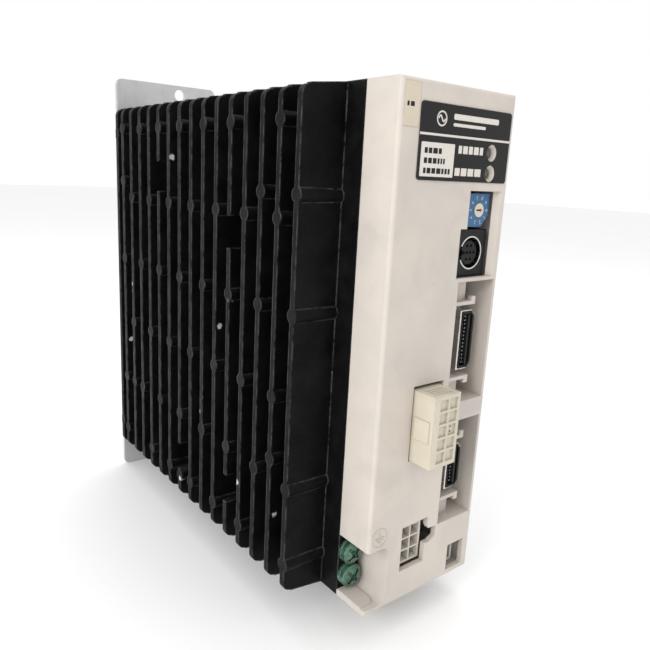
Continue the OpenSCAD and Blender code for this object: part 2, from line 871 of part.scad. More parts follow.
module brake_resistor() {
    color([0.88, 0.87, 0.82])
    difference() {
        box([power_top + 2, 66, from_top(142)], [power_top + 11, 100, from_top(151)]);
        box([power_top + 10.5, 68, from_top(143.4)], [power_top + 12, 98, from_top(149.6)]);
    }
    color("silver")
    for (y = [69, 97]) rod_x(y, from_top(146.5), power_top, power_top + 2, 0.6);
}

fuse_z = 84;

module mains_fuse() {
    color([0.85, 0.9, 0.9])
    rod_y(power_top + 6, fuse_z, 24, 44, 2.5);
}

module fuse_clips() {
    color("silver")
    for (y = [25, 39]) difference() {
        box([power_top, y, fuse_z - 3.2], [power_top + 7.6, y + 4, fuse_z + 3.2]);
        rod_y(power_top + 6, fuse_z, y - 1, y + 5, 2.5);
        box([power_top + 6, y - 1, fuse_z - 2.2], [power_top + 9, y + 5, fuse_z + 2.2]);
        box([power_top + 0.6, y - 1, fuse_z - 2.4], [power_top + 2.8, y + 5, fuse_z + 2.4]);
    }
}

// ---- Link between the boards and logic --------------------------------------------------

link_y = 64;
link_z = 72;
link_pins = 14;
link_pitch = 2.54;

module board_link_header() {
    color([0.12, 0.12, 0.12])
    difference() {
        box([power_top, link_y, link_z], [power_top + 16, link_y + link_pins * link_pitch, link_z + 5.1]);
        link_holes(power_top - 1, power_top + 17);
    }
}

module link_holes(x0, x1) {
    for (k = [0:link_pins - 1], r = [0, 1])
        box([x0, link_y + (k + 0.5) * link_pitch - 0.35, link_z + 1.28 + r * 2.54 - 0.35],
            [x1, link_y + (k + 0.5) * link_pitch + 0.35, link_z + 1.28 + r * 2.54 + 0.35]);
}

module board_link_pins() {
    color("gold")
    for (k = [0:link_pins - 1], r = [0, 1])
        box([power_top, link_y + (k + 0.5) * link_pitch - 0.32, link_z + 1.28 + r * 2.54 - 0.32],
            [control_x - 2, link_y + (k + 0.5) * link_pitch + 0.32, link_z + 1.28 + r * 2.54 + 0.32]);
}

module board_link_socket() {
    color([0.15, 0.15, 0.15])
    difference() {
        box([control_x - 8.5, link_y, link_z], [control_x, link_y + link_pins * link_pitch, link_z + 5.1]);
        link_holes(control_x - 10, control_x - 1.5);
    }
}

chip_h = 1.8;

// A flat square chip with gull-wing leads on four sides
module flat_chip(y, z, size, leads) {
    box([control_x - chip_h, y - size / 2, z - size / 2], [control_x - 0.15, y + size / 2, z + size / 2]);
    for (k = [0:leads - 1], a = [0, 90, 180, 270])
        translate([0, y, z]) rotate([a, 0, 0])
            translate([control_x - 0.5, size / 2 - eps, (k - (leads - 1) / 2) * (size - 2) / leads - 0.15])
                cube([0.5, 1.4, 0.3]);
}

module processor() {
    color([0.1, 0.1, 0.1]) flat_chip(86, 100, 22, 18);
}

module logic_chips() {
    color([0.1, 0.1, 0.1]) {
        flat_chip(56, 122, 12, 9);
        flat_chip(56, 60, 12, 9);
        for (y = [100, 114], z = [30, 50])
            box([control_x - chip_h, y, z], [control_x, y + 8, z + 14]);
    }
}

// ---- Power connectors -------------------------------------------------------------------

// Calls its children at each contact's [x, z]
module each_contact(x, z, rows) {
    for (c = [0:plug_cols - 1], r = [0:rows - 1])
        translate([x + (c - (plug_cols - 1) / 2) * power_pitch, 0,
            z + (r - (rows - 1) / 2) * power_pitch]) children();
}

module header_body(x, z, rows, front) {
    w = plug_cols * power_pitch / 2 + 0.6;
    h = rows * power_pitch / 2 + 0.5;
    difference() {
        union() {
            box([x - w, front, z - h], [x + w, header_back, z + h]);
            box([power_top, board_front, z - h], [x + w, board_front + 4, z - h + 1.9]);
            box([power_top, board_front, z + h - 1.9], [x + w, board_front + 4, z + h]);
            box([x - w, header_back - 1, z - h], [x + w, board_front + 1, z - h + 1.9]);
            box([x - w, header_back - 1, z + h - 1.9], [x + w, board_front + 1, z + h]);
        }
        each_contact(x, z, rows) {
            box([-cell / 2, front - 1, -cell / 2], [cell / 2, header_back - 1.6, cell / 2]);
            box([-pin_w / 2, front, -pin_w / 2], [pin_w / 2, header_back + 1, pin_w / 2]);
        }
    }
}

// Each pin runs back through the header and turns down to the power board
module header_pins(x, z, rows, front) {
    for (c = [0:plug_cols - 1], r = [0:rows - 1]) {
        px = x + (c - (plug_cols - 1) / 2) * power_pitch;
        pz = z + (r - (rows - 1) / 2) * power_pitch;
        bend = board_front + 1.2 + c * 3;
        box([px - pin_w / 2, front + 2.6, pz - pin_w / 2], [px + pin_w / 2, bend, pz + pin_w / 2]);
        box([power_top, bend - pin_w, pz - pin_w / 2], [px - pin_w / 2 + eps, bend, pz + pin_w / 2]);
    }
}

module power_header() {
    color([0.9, 0.89, 0.85]) header_body(plug_x, plug_z, plug_rows, header_front);
}

module power_header_pins() {
    color("silver") header_pins(plug_x, plug_z, plug_rows, header_front);
}

module motor_header() {
    color([0.92, 0.91, 0.88]) header_body(motor_x, motor_z, motor_rows, header_front);
}

module motor_header_pins() {
    color("silver") header_pins(motor_x, motor_z, motor_rows, header_front);
}

finger = cell - 2 * plug_gap;
contact_w = 1.9;

module power_plug() {
    color([0.93, 0.9, 0.8])
    difference() {
        union() {
            box([plug_x0, plug_front, plug_z - plug_half], [plug_x1, header_front - 0.6, plug_z + plug_half]);
            each_contact(plug_x, plug_z, plug_rows)
                box([-finger / 2, 0, -finger / 2], [finger / 2, plug_reach, finger / 2]);
            // latch lever along the left side
            box([plug_x0 - 0.45 + eps, plug_front + 1.2, plug_z - 3.4], [plug_x0 + eps, -1, plug_z + 3.4]);
        }
        each_contact(plug_x, plug_z, plug_rows) {
            box([-cell / 2 + 0.1, plug_front - 1, -cell / 2 + 0.1], [cell / 2 - 0.1, plug_front + 0.7, cell / 2 - 0.1]);
            box([-contact_w / 2, 2, -contact_w / 2], [contact_w / 2, plug_reach + 1, contact_w / 2]);
        }
        // two test-probe holes in one cell
        for (k = [-0.8, 0.8])
            rod_y(plug_x + power_pitch / 2, plug_z + k, plug_front, plug_front + 3, 0.35);
        // finger grips at both ends
        for (end = [-1, 1], k = [0:3])
            box([plug_x0 + 1.5, plug_front + 1.6 + k * 1.3, plug_z + end * plug_half - 0.25],
                [plug_x1 - 1.5, plug_front + 2.1 + k * 1.3, plug_z + end * plug_half + 0.25]);
    }
}

// Sockets in the plug's fingers: each is a square tube open to the front
module power_plug_contacts() {
    color("gold")
    each_contact(plug_x, plug_z, plug_rows) difference() {
        box([-contact_w / 2, 2, -contact_w / 2], [contact_w / 2, plug_reach - 0.5, contact_w / 2]);
        box([-pin_w / 2 - 0.15, 3, -pin_w / 2 - 0.15], [pin_w / 2 + 0.15, plug_reach, pin_w / 2 + 0.15]);
    }
}

module monitor_header() {
    color([0.92, 0.91, 0.88])
    difference() {
        box([monitor_x, 3.2, monitor_z - 4.2], [control_x, board_front + 5, monitor_z + 4.2]);
        box([monitor_x + 0.8, 2, monitor_z - 3.4], [monitor_x + 2.4, 12, monitor_z + 3.4]);
        box([monitor_x + 3, 2, monitor_z - 3.4], [monitor_x + 4.8, 12, monitor_z + 3.4]);
    }
    color("silver")
    for (k = [0:3])
        box([monitor_x + 3.6, 4.6, monitor_z - 2.7 + k * 1.6],
            [monitor_x + 4.1, 12 + eps, monitor_z - 2.1 + k * 1.6]);
}

// ---- Signal ports -----------------------------------------------------------------------

port_left = port_x - 3.1;
port_right = port_x + 3;
port_end = 1.8;
port_wall = 0.8;
flange_y = 9;
shell_t = 0.4;
shell_rim = 0.5;                             // width of the shell's folded left rim

// The D outline: a full-height left side, moved in by rim, and two bevelled right corners
module d_outline(z, rows, grow, rim = 0) {
    h = half_span(rows) + port_end + grow;
    left = port_left - grow + rim;
    translate([0, z])
        polygon([[left, -h], [port_right - 1.4, -h], [port_right + grow, -h + 1.6 + 0.4 * grow],
            [port_right + grow, h - 1.6 - 0.4 * grow], [port_right - 1.4, h], [left, h]]);
}

module port_shell(z, rows) {
    back(port_front + 0.3, flange_y + 0.5) difference() {
        d_outline(z, rows, shell_t);
        d_outline(z, rows, 0, shell_rim);
    }
    back(flange_y, flange_y + 0.5) difference() {
        round_rect([port_left - 2.6, z - half_span(rows) - 3.9],
            [control_x - 0.3, z + half_span(rows) + 3.9], 0.6);
        d_outline(z, rows, 0, shell_rim);
    }
}

module port_insert(z, rows) {
    difference() {
        union() {
            back(port_front, flange_y + 0.6) d_outline(z, rows, 0, shell_rim);
            box([port_left - 1, flange_y + 0.5, z - half_span(rows) - 3],
                [control_x, port_back, z + half_span(rows) + 3]);
        }
        back(port_front - 1, flange_y - 0.5) d_outline(z, rows, -port_wall);
    }
    box([tongue_x, port_front, z - half_span(rows) - 0.6],
        [tongue_x + tongue_w, flange_y - 0.5 + eps, z + half_span(rows) + 0.6]);
}

tongue_x = port_x + 0.15;
tongue_w = 0.9;
contact_t = 0.6;
contact_in = 0.8;                            // contacts' ends behind the tongue's front

module port_pins(z, rows) {
    for (k = [0:rows - 1], side = [0, 1])
        translate([0, 0, z + (k - (rows - 1) / 2) * signal_pitch]) {
            x0 = side == 0 ? tongue_x - contact_t : tongue_x + tongue_w;
            box([x0, port_front + contact_in, -0.32], [x0 + contact_t, flange_y - 0.5, 0.32]);
            box([control_x - 1.2 - side * 1.6, port_back, -0.2],
                [control_x - 0.8 - side * 1.6, port_back + 1.5 + side, 0.2]);
            box([control_x - 1.2 - side * 1.6, port_back + 1.1 + side, -0.2],
                [control_x, port_back + 1.5 + side, 0.2]);
        }
}

module io_port_shell() { color("silver") port_shell(io_z, io_rows); }
module io_port_insert() { color([0.1, 0.1, 0.1]) port_insert(io_z, io_rows); }
module io_port_pins() { color("silver") port_pins(io_z, io_rows); }
module encoder_port_shell() { color("silver") port_shell(encoder_z, encoder_rows); }
module encoder_port_insert() { color([0.1, 0.1, 0.1]) port_insert(encoder_z, encoder_rows); }
module encoder_port_pins() { color("silver") port_pins(encoder_z, encoder_rows); }

din_front = 2.5;

module serial_port_housing() {
    color([0.1, 0.1, 0.1]) {
        difference() {
            union() {
                box([din_x - 5.7, din_front, din_z - 7.2], [window_right - 0.5, seam, din_z + 7.2]);
                box([din_x - 5.7, seam - eps, din_z - 7.2], [control_x, port_back, din_z + 7.2]);
            }
            rod_y(din_x, din_z, din_front - 1, din_front + 6, din_r);
            // keyway beside the ring
            box([din_x - 5.1, din_front - 1, din_z - 1.3], [din_x, din_front + 6, din_z + 1.3]);
        }
        difference() {
            rod_y(din_x, din_z, din_front + 0.7, din_front + 6 + eps, din_r - 1.5);
            box([din_x - 6, din_front, din_z - 0.8], [din_x - 2.9, din_front + 5, din_z + 0.8]);
            for (p = [[-0.95, 2.1], [0.95, 2.1], [-2.3, 0], [-0.8, 0], [0.8, 0], [2.4, 0],
                    [-0.95, -2.1], [0.95, -2.1]])
                rod_y(din_x + p[0], din_z + p[1], din_front, din_front + 4.5, 0.45);
        }
    }
}

// The metal sleeve, split at its keyway
module serial_port_ring() {
    color("silver")
    difference() {
        rod_y(din_x, din_z, din_front - 0.1, din_front + 6, din_r);
        rod_y(din_x, din_z, din_front - 1, din_front + 7, din_r - 0.45);
        translate([din_x, 0, din_z]) rotate([90, 0, 0]) translate([0, 0, -12])
            linear_extrude(12) polygon([[0, 0], [-9, 4.2], [-9, -4.2]]);
    }
}

dial_front = 2.25;
dial_back = 6.5;

module address_switch_body() {
    color([0.2, 0.42, 0.65])
    difference() {
        back(2.5, 8.6) polygon([
            [switch_x - switch_w / 2, switch_z - switch_h / 2],
            [switch_x + switch_w / 2 - 3, switch_z - switch_h / 2],
            [switch_x + switch_w / 2, switch_z - switch_h / 2 + 3.6],
            [switch_x + switch_w / 2, switch_z + switch_h / 2],
            [switch_x - switch_w / 2, switch_z + switch_h / 2]
        ]);
        rod_y(switch_x, switch_z, 2, dial_back + 0.3, dial_d / 2 + run_gap);
    }
    // black base and its leads to the control board
    color([0.12, 0.12, 0.12])
    box([switch_x - switch_w / 2 + 0.4, 8.6 - eps, switch_z - switch_h / 2 + 0.4],
        [switch_x + switch_w / 2 - 0.4, board_front, switch_z + switch_h / 2 - 0.4]);
    color("silver")
    for (k = [-2:2])
        box([switch_x + 1, board_front - eps, switch_z + k * 1.8 - 0.25],
            [control_x, board_front + 3, switch_z + k * 1.8 + 0.25]);
}

module address_switch_dial() {
    color([0.88, 0.85, 0.8])
    difference() {
        rod_y(switch_x, switch_z, dial_front, dial_back, dial_d / 2);
        // screwdriver slot with an arrow head at its right end
        back(dial_front - 1, dial_front + 0.8) translate([switch_x, switch_z]) {
            translate([-1.3, -0.25]) square([2.2, 0.5]);
            polygon([[0.5, -0.6], [1.5, 0], [0.5, 0.6]]);
        }
    }
}

// ---- Earth terminal ---------------------------------------------------------------------

// side is 1 for the upper screw and -1 for the lower one
module at_earth(side) {
    translate([earth_x, 0, earth_z + side * earth_pitch / 2]) children();
}

module earth_screw(side) {
    under = seam - washer_t;
    crown = under - earth_head_h;
    head_r = earth_head_d / 2;
    dome_r = (head_r * head_r + earth_dome * earth_dome) / (2 * earth_dome);
    color([0.3, 0.52, 0.42])
    at_earth(side) difference() {
        union() {
            intersection() {
                rod_y(0, 0, crown, under, head_r);
                translate([0, crown + dome_r, 0]) sphere(dome_r);
            }
            rod_y(0, 0, under - eps, seam + earth_len - 2, earth_d / 2);
        }
        for (a = [45, 135])
            rotate([0, a, 0]) translate([-earth_head_d * 0.38, crown - 1, -earth_slot / 2])
                cube([earth_head_d * 0.76, 2.9, earth_slot]);
        rod_y(0, 0, crown - 1, crown + 2.3, 1.3);
    }
}

// A captive square-section spring washer, split at its top
module earth_washer(side) {
    color([0.4, 0.6, 0.5])
    at_earth(side) difference() {
        rod_y(0, 0, seam - washer_t, seam, earth_head_d / 2 + 0.1);
        rod_y(0, 0, seam - 2, seam + 1, earth_d / 2 + run_gap);
        box([-0.3, seam - 2, 0], [0.3, seam + 1, earth_head_d]);
    }
}

// ---- Output -----------------------------------------------------------------------------

placed() front_cover();
placed() heat_sink();
placed() side_shell();
placed() rear_plate();
placed() nameplate();
placed() front_label();
placed() corner_label();
placed() side_label();
placed() status_lights();
placed() status_leds();
placed() power_board();
placed() control_board();
placed() insulation_sheet();
placed() base_standoffs();
placed() link_standoffs();
placed() standoff_nuts();
placed() base_screws();
placed() power_board_screws();
placed() control_board_screws();
placed() case_screws();
placed() module_screws();
placed() power_module();
placed() rectifier();
placed() bus_capacitors();
placed() filter_capacitors();
placed() film_capacitors();
placed() transformer_core();
placed() transformer_coil();
placed() choke_core();
placed() choke_winding();
placed() relays();
placed() brake_resistor();
placed() mains_fuse();
placed() fuse_clips();
placed() board_link_header();
placed() board_link_pins();
placed() board_link_socket();
placed() processor();
placed() logic_chips();
placed() power_header();
placed() power_header_pins();
placed() motor_header();
placed() motor_header_pins();
placed() monitor_header();
placed() power_plug();
placed() power_plug_contacts();
placed() io_port_shell();
placed() io_port_insert();
placed() io_port_pins();
placed() encoder_port_shell();
placed() encoder_port_insert();
placed() encoder_port_pins();
placed() serial_port_housing();
placed() serial_port_ring();
placed() address_switch_body();
placed() address_switch_dial();
placed() earth_screw(1);  // earth_screw_upper
placed() earth_washer(1);  // earth_washer_upper
placed() earth_screw(-1);  // earth_screw_lower
placed() earth_washer(-1);  // earth_washer_lower
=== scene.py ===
"""A panel-mounted servo drive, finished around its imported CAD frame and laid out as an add-on."""

import json
import math
import random

import bmesh
import bpy
from bpy.props import FloatProperty, FloatVectorProperty, PointerProperty
from mathutils import Matrix, Vector


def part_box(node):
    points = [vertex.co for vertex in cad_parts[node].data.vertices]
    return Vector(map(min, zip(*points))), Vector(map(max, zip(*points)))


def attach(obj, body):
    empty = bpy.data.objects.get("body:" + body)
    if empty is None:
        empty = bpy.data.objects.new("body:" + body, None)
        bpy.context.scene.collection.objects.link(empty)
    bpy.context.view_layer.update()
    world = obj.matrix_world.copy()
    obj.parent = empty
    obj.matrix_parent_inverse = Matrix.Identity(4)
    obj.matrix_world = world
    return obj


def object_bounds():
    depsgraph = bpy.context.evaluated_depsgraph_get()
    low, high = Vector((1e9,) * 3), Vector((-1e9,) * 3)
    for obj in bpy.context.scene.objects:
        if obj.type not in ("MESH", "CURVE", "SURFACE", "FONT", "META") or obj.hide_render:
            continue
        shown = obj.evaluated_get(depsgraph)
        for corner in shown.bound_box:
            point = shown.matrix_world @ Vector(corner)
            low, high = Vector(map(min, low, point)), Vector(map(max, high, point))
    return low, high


bl_info = {
    "name": "Servo Drive Finish",
    "version": (1, 0, 0),
    "blender": (4, 5, 0),
    "location": "View3D > Sidebar > Servo Drive",
    "description": "Materials, printed parts and stage for a finned, panel-mounted servo drive",
    "category": "Object",
}

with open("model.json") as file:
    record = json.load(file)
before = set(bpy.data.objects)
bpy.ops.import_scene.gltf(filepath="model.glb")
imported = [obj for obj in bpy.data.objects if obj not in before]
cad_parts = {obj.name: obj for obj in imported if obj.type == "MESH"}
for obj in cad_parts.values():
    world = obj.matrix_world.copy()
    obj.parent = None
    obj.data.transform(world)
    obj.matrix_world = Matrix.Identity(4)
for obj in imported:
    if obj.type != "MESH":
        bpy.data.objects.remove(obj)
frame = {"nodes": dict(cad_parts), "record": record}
CAD_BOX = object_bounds()
MM = 0.001
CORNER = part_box("front_cover")[0]     # the cover's lower left front corner


# ---- Sizes and colours a user would change ----------------------------------------------


def colour(name, description, default):
    """A colour property with the panel's usual limits."""
    return FloatVectorProperty(
        name=name, description=description, default=default, subtype="COLOR", size=3, min=0, max=1
    )


def length(name, description, default):
    """A length property, in metres."""
    return FloatProperty(
        name=name, description=description, default=default, unit="LENGTH", precision=5, min=0
    )


def share(name, description, default):
    """A property from nothing to full."""
    return FloatProperty(
        name=name, description=description, default=default, subtype="FACTOR", min=0, max=1
    )


class ServoHousing(bpy.types.PropertyGroup):
    """Colours, edges, and the painted edge highlight and wear of the housing."""

    cover: colour("Cover", "Off-white of the moulded front", (0.56, 0.515, 0.47))
    coating: colour("Coating", "Black of the die-cast heat sink", (0.0024, 0.0024, 0.0025))
    # Painted highlight and wear: this grey on the heat sink's edges stands for light caught on
    # rounded edges and for coating worn to bare metal.
    bare_metal: colour("Highlight and bare metal", "Grey that shows where the coating has worn", (0.2, 0.2, 0.2))
    sheet: colour("Sheet", "Zinc-plated steel of the shell", (0.56, 0.57, 0.58))
    plate: colour("Plate", "Zinc-plated steel of the rear plate", (0.6, 0.6, 0.6))
    edge: length("Edge radius", "Rounding of moulded edges", 0.25 * MM)
    fin_edge: length("Fin edge radius", "Rounding of the cast edges", 0.6 * MM)
    # How far the painted edge highlight and the worn coating reach on the heat sink.
    wear: share("Edge highlight and wear", "How far the coating has worn from the fins' edges", 0.5)
    grime: share("Grime", "Smudges on the white plastic", 0.35)


class ServoDetails(bpy.types.PropertyGroup):
    """Colours and sizes of the connectors, labels and switch."""

    film: colour("Nameplate", "Charcoal of the nameplate film", (0.011, 0.0105, 0.011))
    paper: colour("Label", "White of the small label", (0.66, 0.62, 0.57))
    beige: colour("Corner label", "Beige of the corner label", (0.6, 0.53, 0.42))
    nylon: colour("Plug", "Cream nylon of the power plug", (0.57, 0.525, 0.43))
    header: colour("Headers", "White of the fixed headers", (0.56, 0.53, 0.49))
    black: colour("Black mouldings", "Black of the ports", (0.006, 0.006, 0.006))
    blue: colour("Switch", "Blue of the address switch", (0.032, 0.125, 0.27))
    ivory: colour("Dial", "Ivory of the dial", (0.58, 0.53, 0.45))
    green: colour("Earth screws", "Green of the earth screws", (0.045, 0.125, 0.08))
    digit: length("Digit height", "Height of the switch's digits", 1.25 * MM)
    print_depth: length("Print depth", "Thickness of printed marks", 0.02 * MM)


class ServoStage(bpy.types.PropertyGroup):
    """Camera, floor and lights."""

    azimuth: FloatProperty(name="Azimuth", description="Heading of the view, from +Y towards +X",
                           default=math.radians(37.91), subtype="ANGLE")
    pitch: FloatProperty(name="Pitch", description="Tilt of the view below the horizon",
                         default=math.radians(12.51), subtype="ANGLE")
    roll: FloatProperty(name="Roll", description="Turn of the camera about its own view",
                        default=math.radians(2.63), subtype="ANGLE")
    eye: FloatVectorProperty(name="Eye", description="Place of the camera",
                             default=(-0.13533, -0.28316, 0.05379), subtype="XYZ", size=3)
    lens: FloatProperty(name="Lens", description="Focal length on a 36 mm sensor", default=34.5,
                        min=10)
    shift: FloatVectorProperty(name="Shift", description="Sideways and upward shift of the frame",
                               default=(0.0202, -0.0185), size=2)
    floor: colour("Floor", "Colour of the floor", (0.93, 0.93, 0.93))
    world: FloatProperty(name="Surround", description="Strength of the white surround",
                         default=1.0, min=0)
    key: FloatProperty(name="Key light", description="Power of the large light, in watts",
                       default=5.0, min=0)


# ---- Node helpers -----------------------------------------------------------------------


class Wiring:
    """Adds and links nodes in one tree, left to right."""

    def __init__(self, tree):
        self.tree = tree
        self.count = 0

    def add(self, kind, values=None, **settings):
        """A node with its settings and its input values or links."""
        node = self.tree.nodes.new(kind)
        node.location = (220 * (self.count % 8), -260 * (self.count // 8))
        self.count += 1
        for name, value in settings.items():
            setattr(node, name, value)
        for name, value in (values or {}).items():
            self.feed(node.inputs[name], value)
        return node

    def feed(self, socket, value):
        """Links an output to the socket, or sets its default."""
        if isinstance(value, bpy.types.NodeSocket):
            self.tree.links.new(value, socket)
        elif socket.type == "RGBA" and len(value) == 3:
            socket.default_value = (*value, 1)
        else:
            socket.default_value = value

    def math(self, operation, a, b=0.0, c=0.0, clamp=False):
        """A sum, product or comparison of values."""
        node = self.add("ShaderNodeMath", {0: a, 1: b, 2: c}, operation=operation, use_clamp=clamp)
        return node.outputs[0]

    def ramp(self, value, low, high, start=0.0, end=1.0):
        """value from low..high to start..end, smoothed and clamped."""
        node = self.add("ShaderNodeMapRange", {"Value": value, "From Min": low, "From Max": high,
                                               "To Min": start, "To Max": end},
                        interpolation_type="SMOOTHSTEP")
        return node.outputs["Result"]

    def mix(self, factor, a, b, blend="MIX"):
        """A colour mix."""
        node = self.add("ShaderNodeMix", data_type="RGBA", blend_type=blend)
        self.feed(node.inputs[0], factor)
        self.feed(node.inputs[6], a)
        self.feed(node.inputs[7], b)
        return node.outputs[2]

    def place(self, scale=(1, 1, 1)):
        """Object coordinates in metres, stretched by scale."""
        where = self.add("ShaderNodeTexCoord").outputs["Object"]
        if tuple(scale) == (1, 1, 1):
            return where
        return self.add("ShaderNodeMapping", {"Vector": where, "Scale": scale}).outputs[0]

    def noise(self, scale, detail=3.0, rough=0.5, at=None, distortion=0.0):
        """A noise value; scale is in features per metre."""
        node = self.add("ShaderNodeTexNoise", {
            "Vector": at or self.place(), "Scale": scale, "Detail": detail,
            "Roughness": rough, "Distortion": distortion})
        return node.outputs["Fac"]


def node_group(name, inputs, outputs, wire):
    """A shader node group with named sockets; wire(w, source, sink) fills it."""
    group = bpy.data.node_groups.new(name, "ShaderNodeTree")
    for socket, kind, default in inputs:
        made = group.interface.new_socket(name=socket, in_out="INPUT", socket_type=kind)
        made.default_value = default
    for socket, kind in outputs:
        group.interface.new_socket(name=socket, in_out="OUTPUT", socket_type=kind)
    w = Wiring(group)
    source = w.add("NodeGroupInput")
    sink = w.add("NodeGroupOutput")
    wire(w, source.outputs, sink.inputs)
    return group


FLOAT = "NodeSocketFloat"
VECTOR = "NodeSocketVector"


def wire_edge_wear(w, source, sink):
    """Marks edges by how far the rounded normal turns from the flat one, broken up by noise; the
    materials use it for painted edge highlights and for worn or dusty edges.
    """
    rounded = w.add("ShaderNodeBevel", {"Radius": source["Radius"]}, samples=4).outputs[0]
    flat = w.add("ShaderNodeNewGeometry").outputs["Normal"]
    turn = w.add("ShaderNodeVectorMath", {0: rounded, 1: flat}, operation="DOT_PRODUCT")
    edge = w.ramp(turn.outputs["Value"], 0.998, 0.9)
    patches = w.noise(source["Scale"], 5.0, 0.65)
    keep = w.ramp(patches, 0.35, 0.62)
    broken = w.math("MULTIPLY", edge, keep)
    w.feed(sink["Mask"], w.math("MULTIPLY", broken, source["Amount"], clamp=True))


def wire_rounded(w, source, sink):
    """The surface normal, with hard edges rounded off."""
    w.feed(sink["Normal"], w.add("ShaderNodeBevel", {"Radius": source["Radius"]},
                                 samples=4).outputs[0])


def wire_corners(w, source, sink):
    """Marks inner corners and narrow recesses, where shade falls: the mask for painted shade."""
    near = w.add("ShaderNodeAmbientOcclusion", {"Distance": source["Reach"]}, samples=4)
    w.feed(sink["Mask"], w.math("MULTIPLY", w.ramp(near.outputs["AO"], 0.8, 0.25),
                                source["Amount"], clamp=True))


def wire_fine_grain(w, source, sink):
    """Spark-eroded mould texture: two sizes of fine noise."""
    fine = w.noise(source["Scale"], 2.0, 0.6)
    half = w.math("MULTIPLY", source["Scale"], 0.4)
    broad = w.noise(half, 2.0, 0.5)
    w.feed(sink["Height"], w.math("MULTIPLY", w.math("ADD", fine, broad), 0.5))


def wire_smudges(w, source, sink):
    """Soft handling marks: broad clouds and a few darker spots."""
    clouds = w.ramp(w.noise(source["Scale"], 4.0, 0.6, distortion=0.6), 0.5, 0.72)
    spots = w.add("ShaderNodeTexVoronoi", {"Vector": w.place(), "Scale": source["Scale"]},
                  feature="F1").outputs["Distance"]
    near = w.ramp(spots, 0.12, 0.03)
    rare = w.ramp(w.noise(source["Scale"], 1.0), 0.56, 0.62)
    both = w.math("MAXIMUM", w.math("MULTIPLY", clouds, 0.6), w.math("MULTIPLY", near, rare))
    w.feed(sink["Mask"], w.math("MULTIPLY", both, source["Amount"], clamp=True))


def wire_chips(w, source, sink):
    """Small hard-edged chips, scattered and rare."""
    cells = w.add("ShaderNodeTexVoronoi", {"Vector": w.place(), "Scale": source["Scale"],
                                           "Randomness": 1.0}, feature="F1")
    ragged = w.math("ADD", cells.outputs["Distance"],
                    w.math("MULTIPLY", w.noise(1400.0, 3.0), 0.12))
    spot = w.ramp(ragged, 0.15, 0.12)
    chosen = w.math("GREATER_THAN", w.add("ShaderNodeSeparateColor", {
        "Color": cells.outputs["Color"]}).outputs[0], source["Rarity"])
    w.feed(sink["Mask"], w.math("MULTIPLY", spot, chosen))


def wire_dust(w, source, sink):
    """Dust that settles on faces that look up."""
    normal = w.add("ShaderNodeNewGeometry").outputs["Normal"]
    up = w.add("ShaderNodeSeparateXYZ", {0: normal}).outputs["Z"]
    flat = w.ramp(up, 0.1, 0.9)
    film = w.ramp(w.noise(180.0, 4.0, 0.65), 0.3, 0.75)
    settled = w.math("MULTIPLY", flat, film)
    haze = w.math("MULTIPLY", w.ramp(w.noise(60.0, 3.0), 0.5, 0.8), 0.25)
    w.feed(sink["Mask"], w.math("MULTIPLY", w.math("MAXIMUM", settled, haze), source["Amount"],
                                clamp=True))


def wire_brushed(w, source, sink):
    """Rolling marks along Z, with broad changes of sheen."""
    lines = w.noise(source["Scale"], 3.0, 0.6, at=w.place((1, 1, 0.03)))
    broad = w.noise(35.0, 2.0)
    w.feed(sink["Lines"], lines)
    w.feed(sink["Roughness"], w.ramp(w.math("ADD", w.math("MULTIPLY", lines, 0.5),
                                            w.math("MULTIPLY", broad, 0.5)), 0.3, 0.7,
                                     source["Low"], source["High"]))


def wire_spangle(w, source, sink):
    """Zinc crystals: flat cells that differ a little in tone."""
    cells = w.add("ShaderNodeTexVoronoi", {"Vector": w.place(), "Scale": source["Scale"]},
                  feature="F1")
    tone = w.add("ShaderNodeSeparateColor", {"Color": cells.outputs["Color"]}).outputs[0]
    w.feed(sink["Tone"], tone)


def build_groups():
    """Makes every shared effect once."""
    amount = ("Amount", FLOAT, 1.0)
    return {
        "edge_highlight_and_wear": node_group("EdgeHighlightAndWear", [("Radius", FLOAT, 0.0004), ("Scale", FLOAT, 300.0),
                                             amount], [("Mask", FLOAT)], wire_edge_wear),
        "rounded": node_group("Rounded", [("Radius", FLOAT, 0.0003)], [("Normal", VECTOR)],
                              wire_rounded),
        "corners": node_group("CornerShade", [("Reach", FLOAT, 0.004), amount], [("Mask", FLOAT)],
                              wire_corners),
        "fine_grain": node_group("FineGrain", [("Scale", FLOAT, 2500.0)], [("Height", FLOAT)],
                                 wire_fine_grain),
        "smudges": node_group("Smudges", [("Scale", FLOAT, 60.0), amount], [("Mask", FLOAT)],
                              wire_smudges),
        "chips": node_group("Chips", [("Scale", FLOAT, 90.0), ("Rarity", FLOAT, 0.8)],
                            [("Mask", FLOAT)], wire_chips),
        "dust": node_group("Dust", [amount], [("Mask", FLOAT)], wire_dust),
        "brushed": node_group("Brushed", [("Scale", FLOAT, 900.0), ("Low", FLOAT, 0.3),
                                          ("High", FLOAT, 0.45)],
                              [("Lines", FLOAT), ("Roughness", FLOAT)], wire_brushed),
        "spangle": node_group("Spangle", [("Scale", FLOAT, 260.0)], [("Tone", FLOAT)],
                              wire_spangle),
    }


GROUPS = build_groups()


def use(w, name, output, **values):
    """Places a shared group in a material and returns one of its outputs."""
    node = w.add("ShaderNodeGroup", node_tree=GROUPS[name])
    for socket, value in values.items():
        w.feed(node.inputs[socket], value)
    return node.outputs[output]


def new_material(name, metallic=0.0, **constants):
    """A Principled material; its constants stay on the shader's own sockets."""
    material = bpy.data.materials.new(name)
    material.use_nodes = True
    shader = material.node_tree.nodes["Principled BSDF"]
    shader.inputs["Metallic"].default_value = metallic
    for socket, value in constants.items():
        shader.inputs[socket.replace("_", " ")].default_value = value
    return material, Wiring(material.node_tree), shader


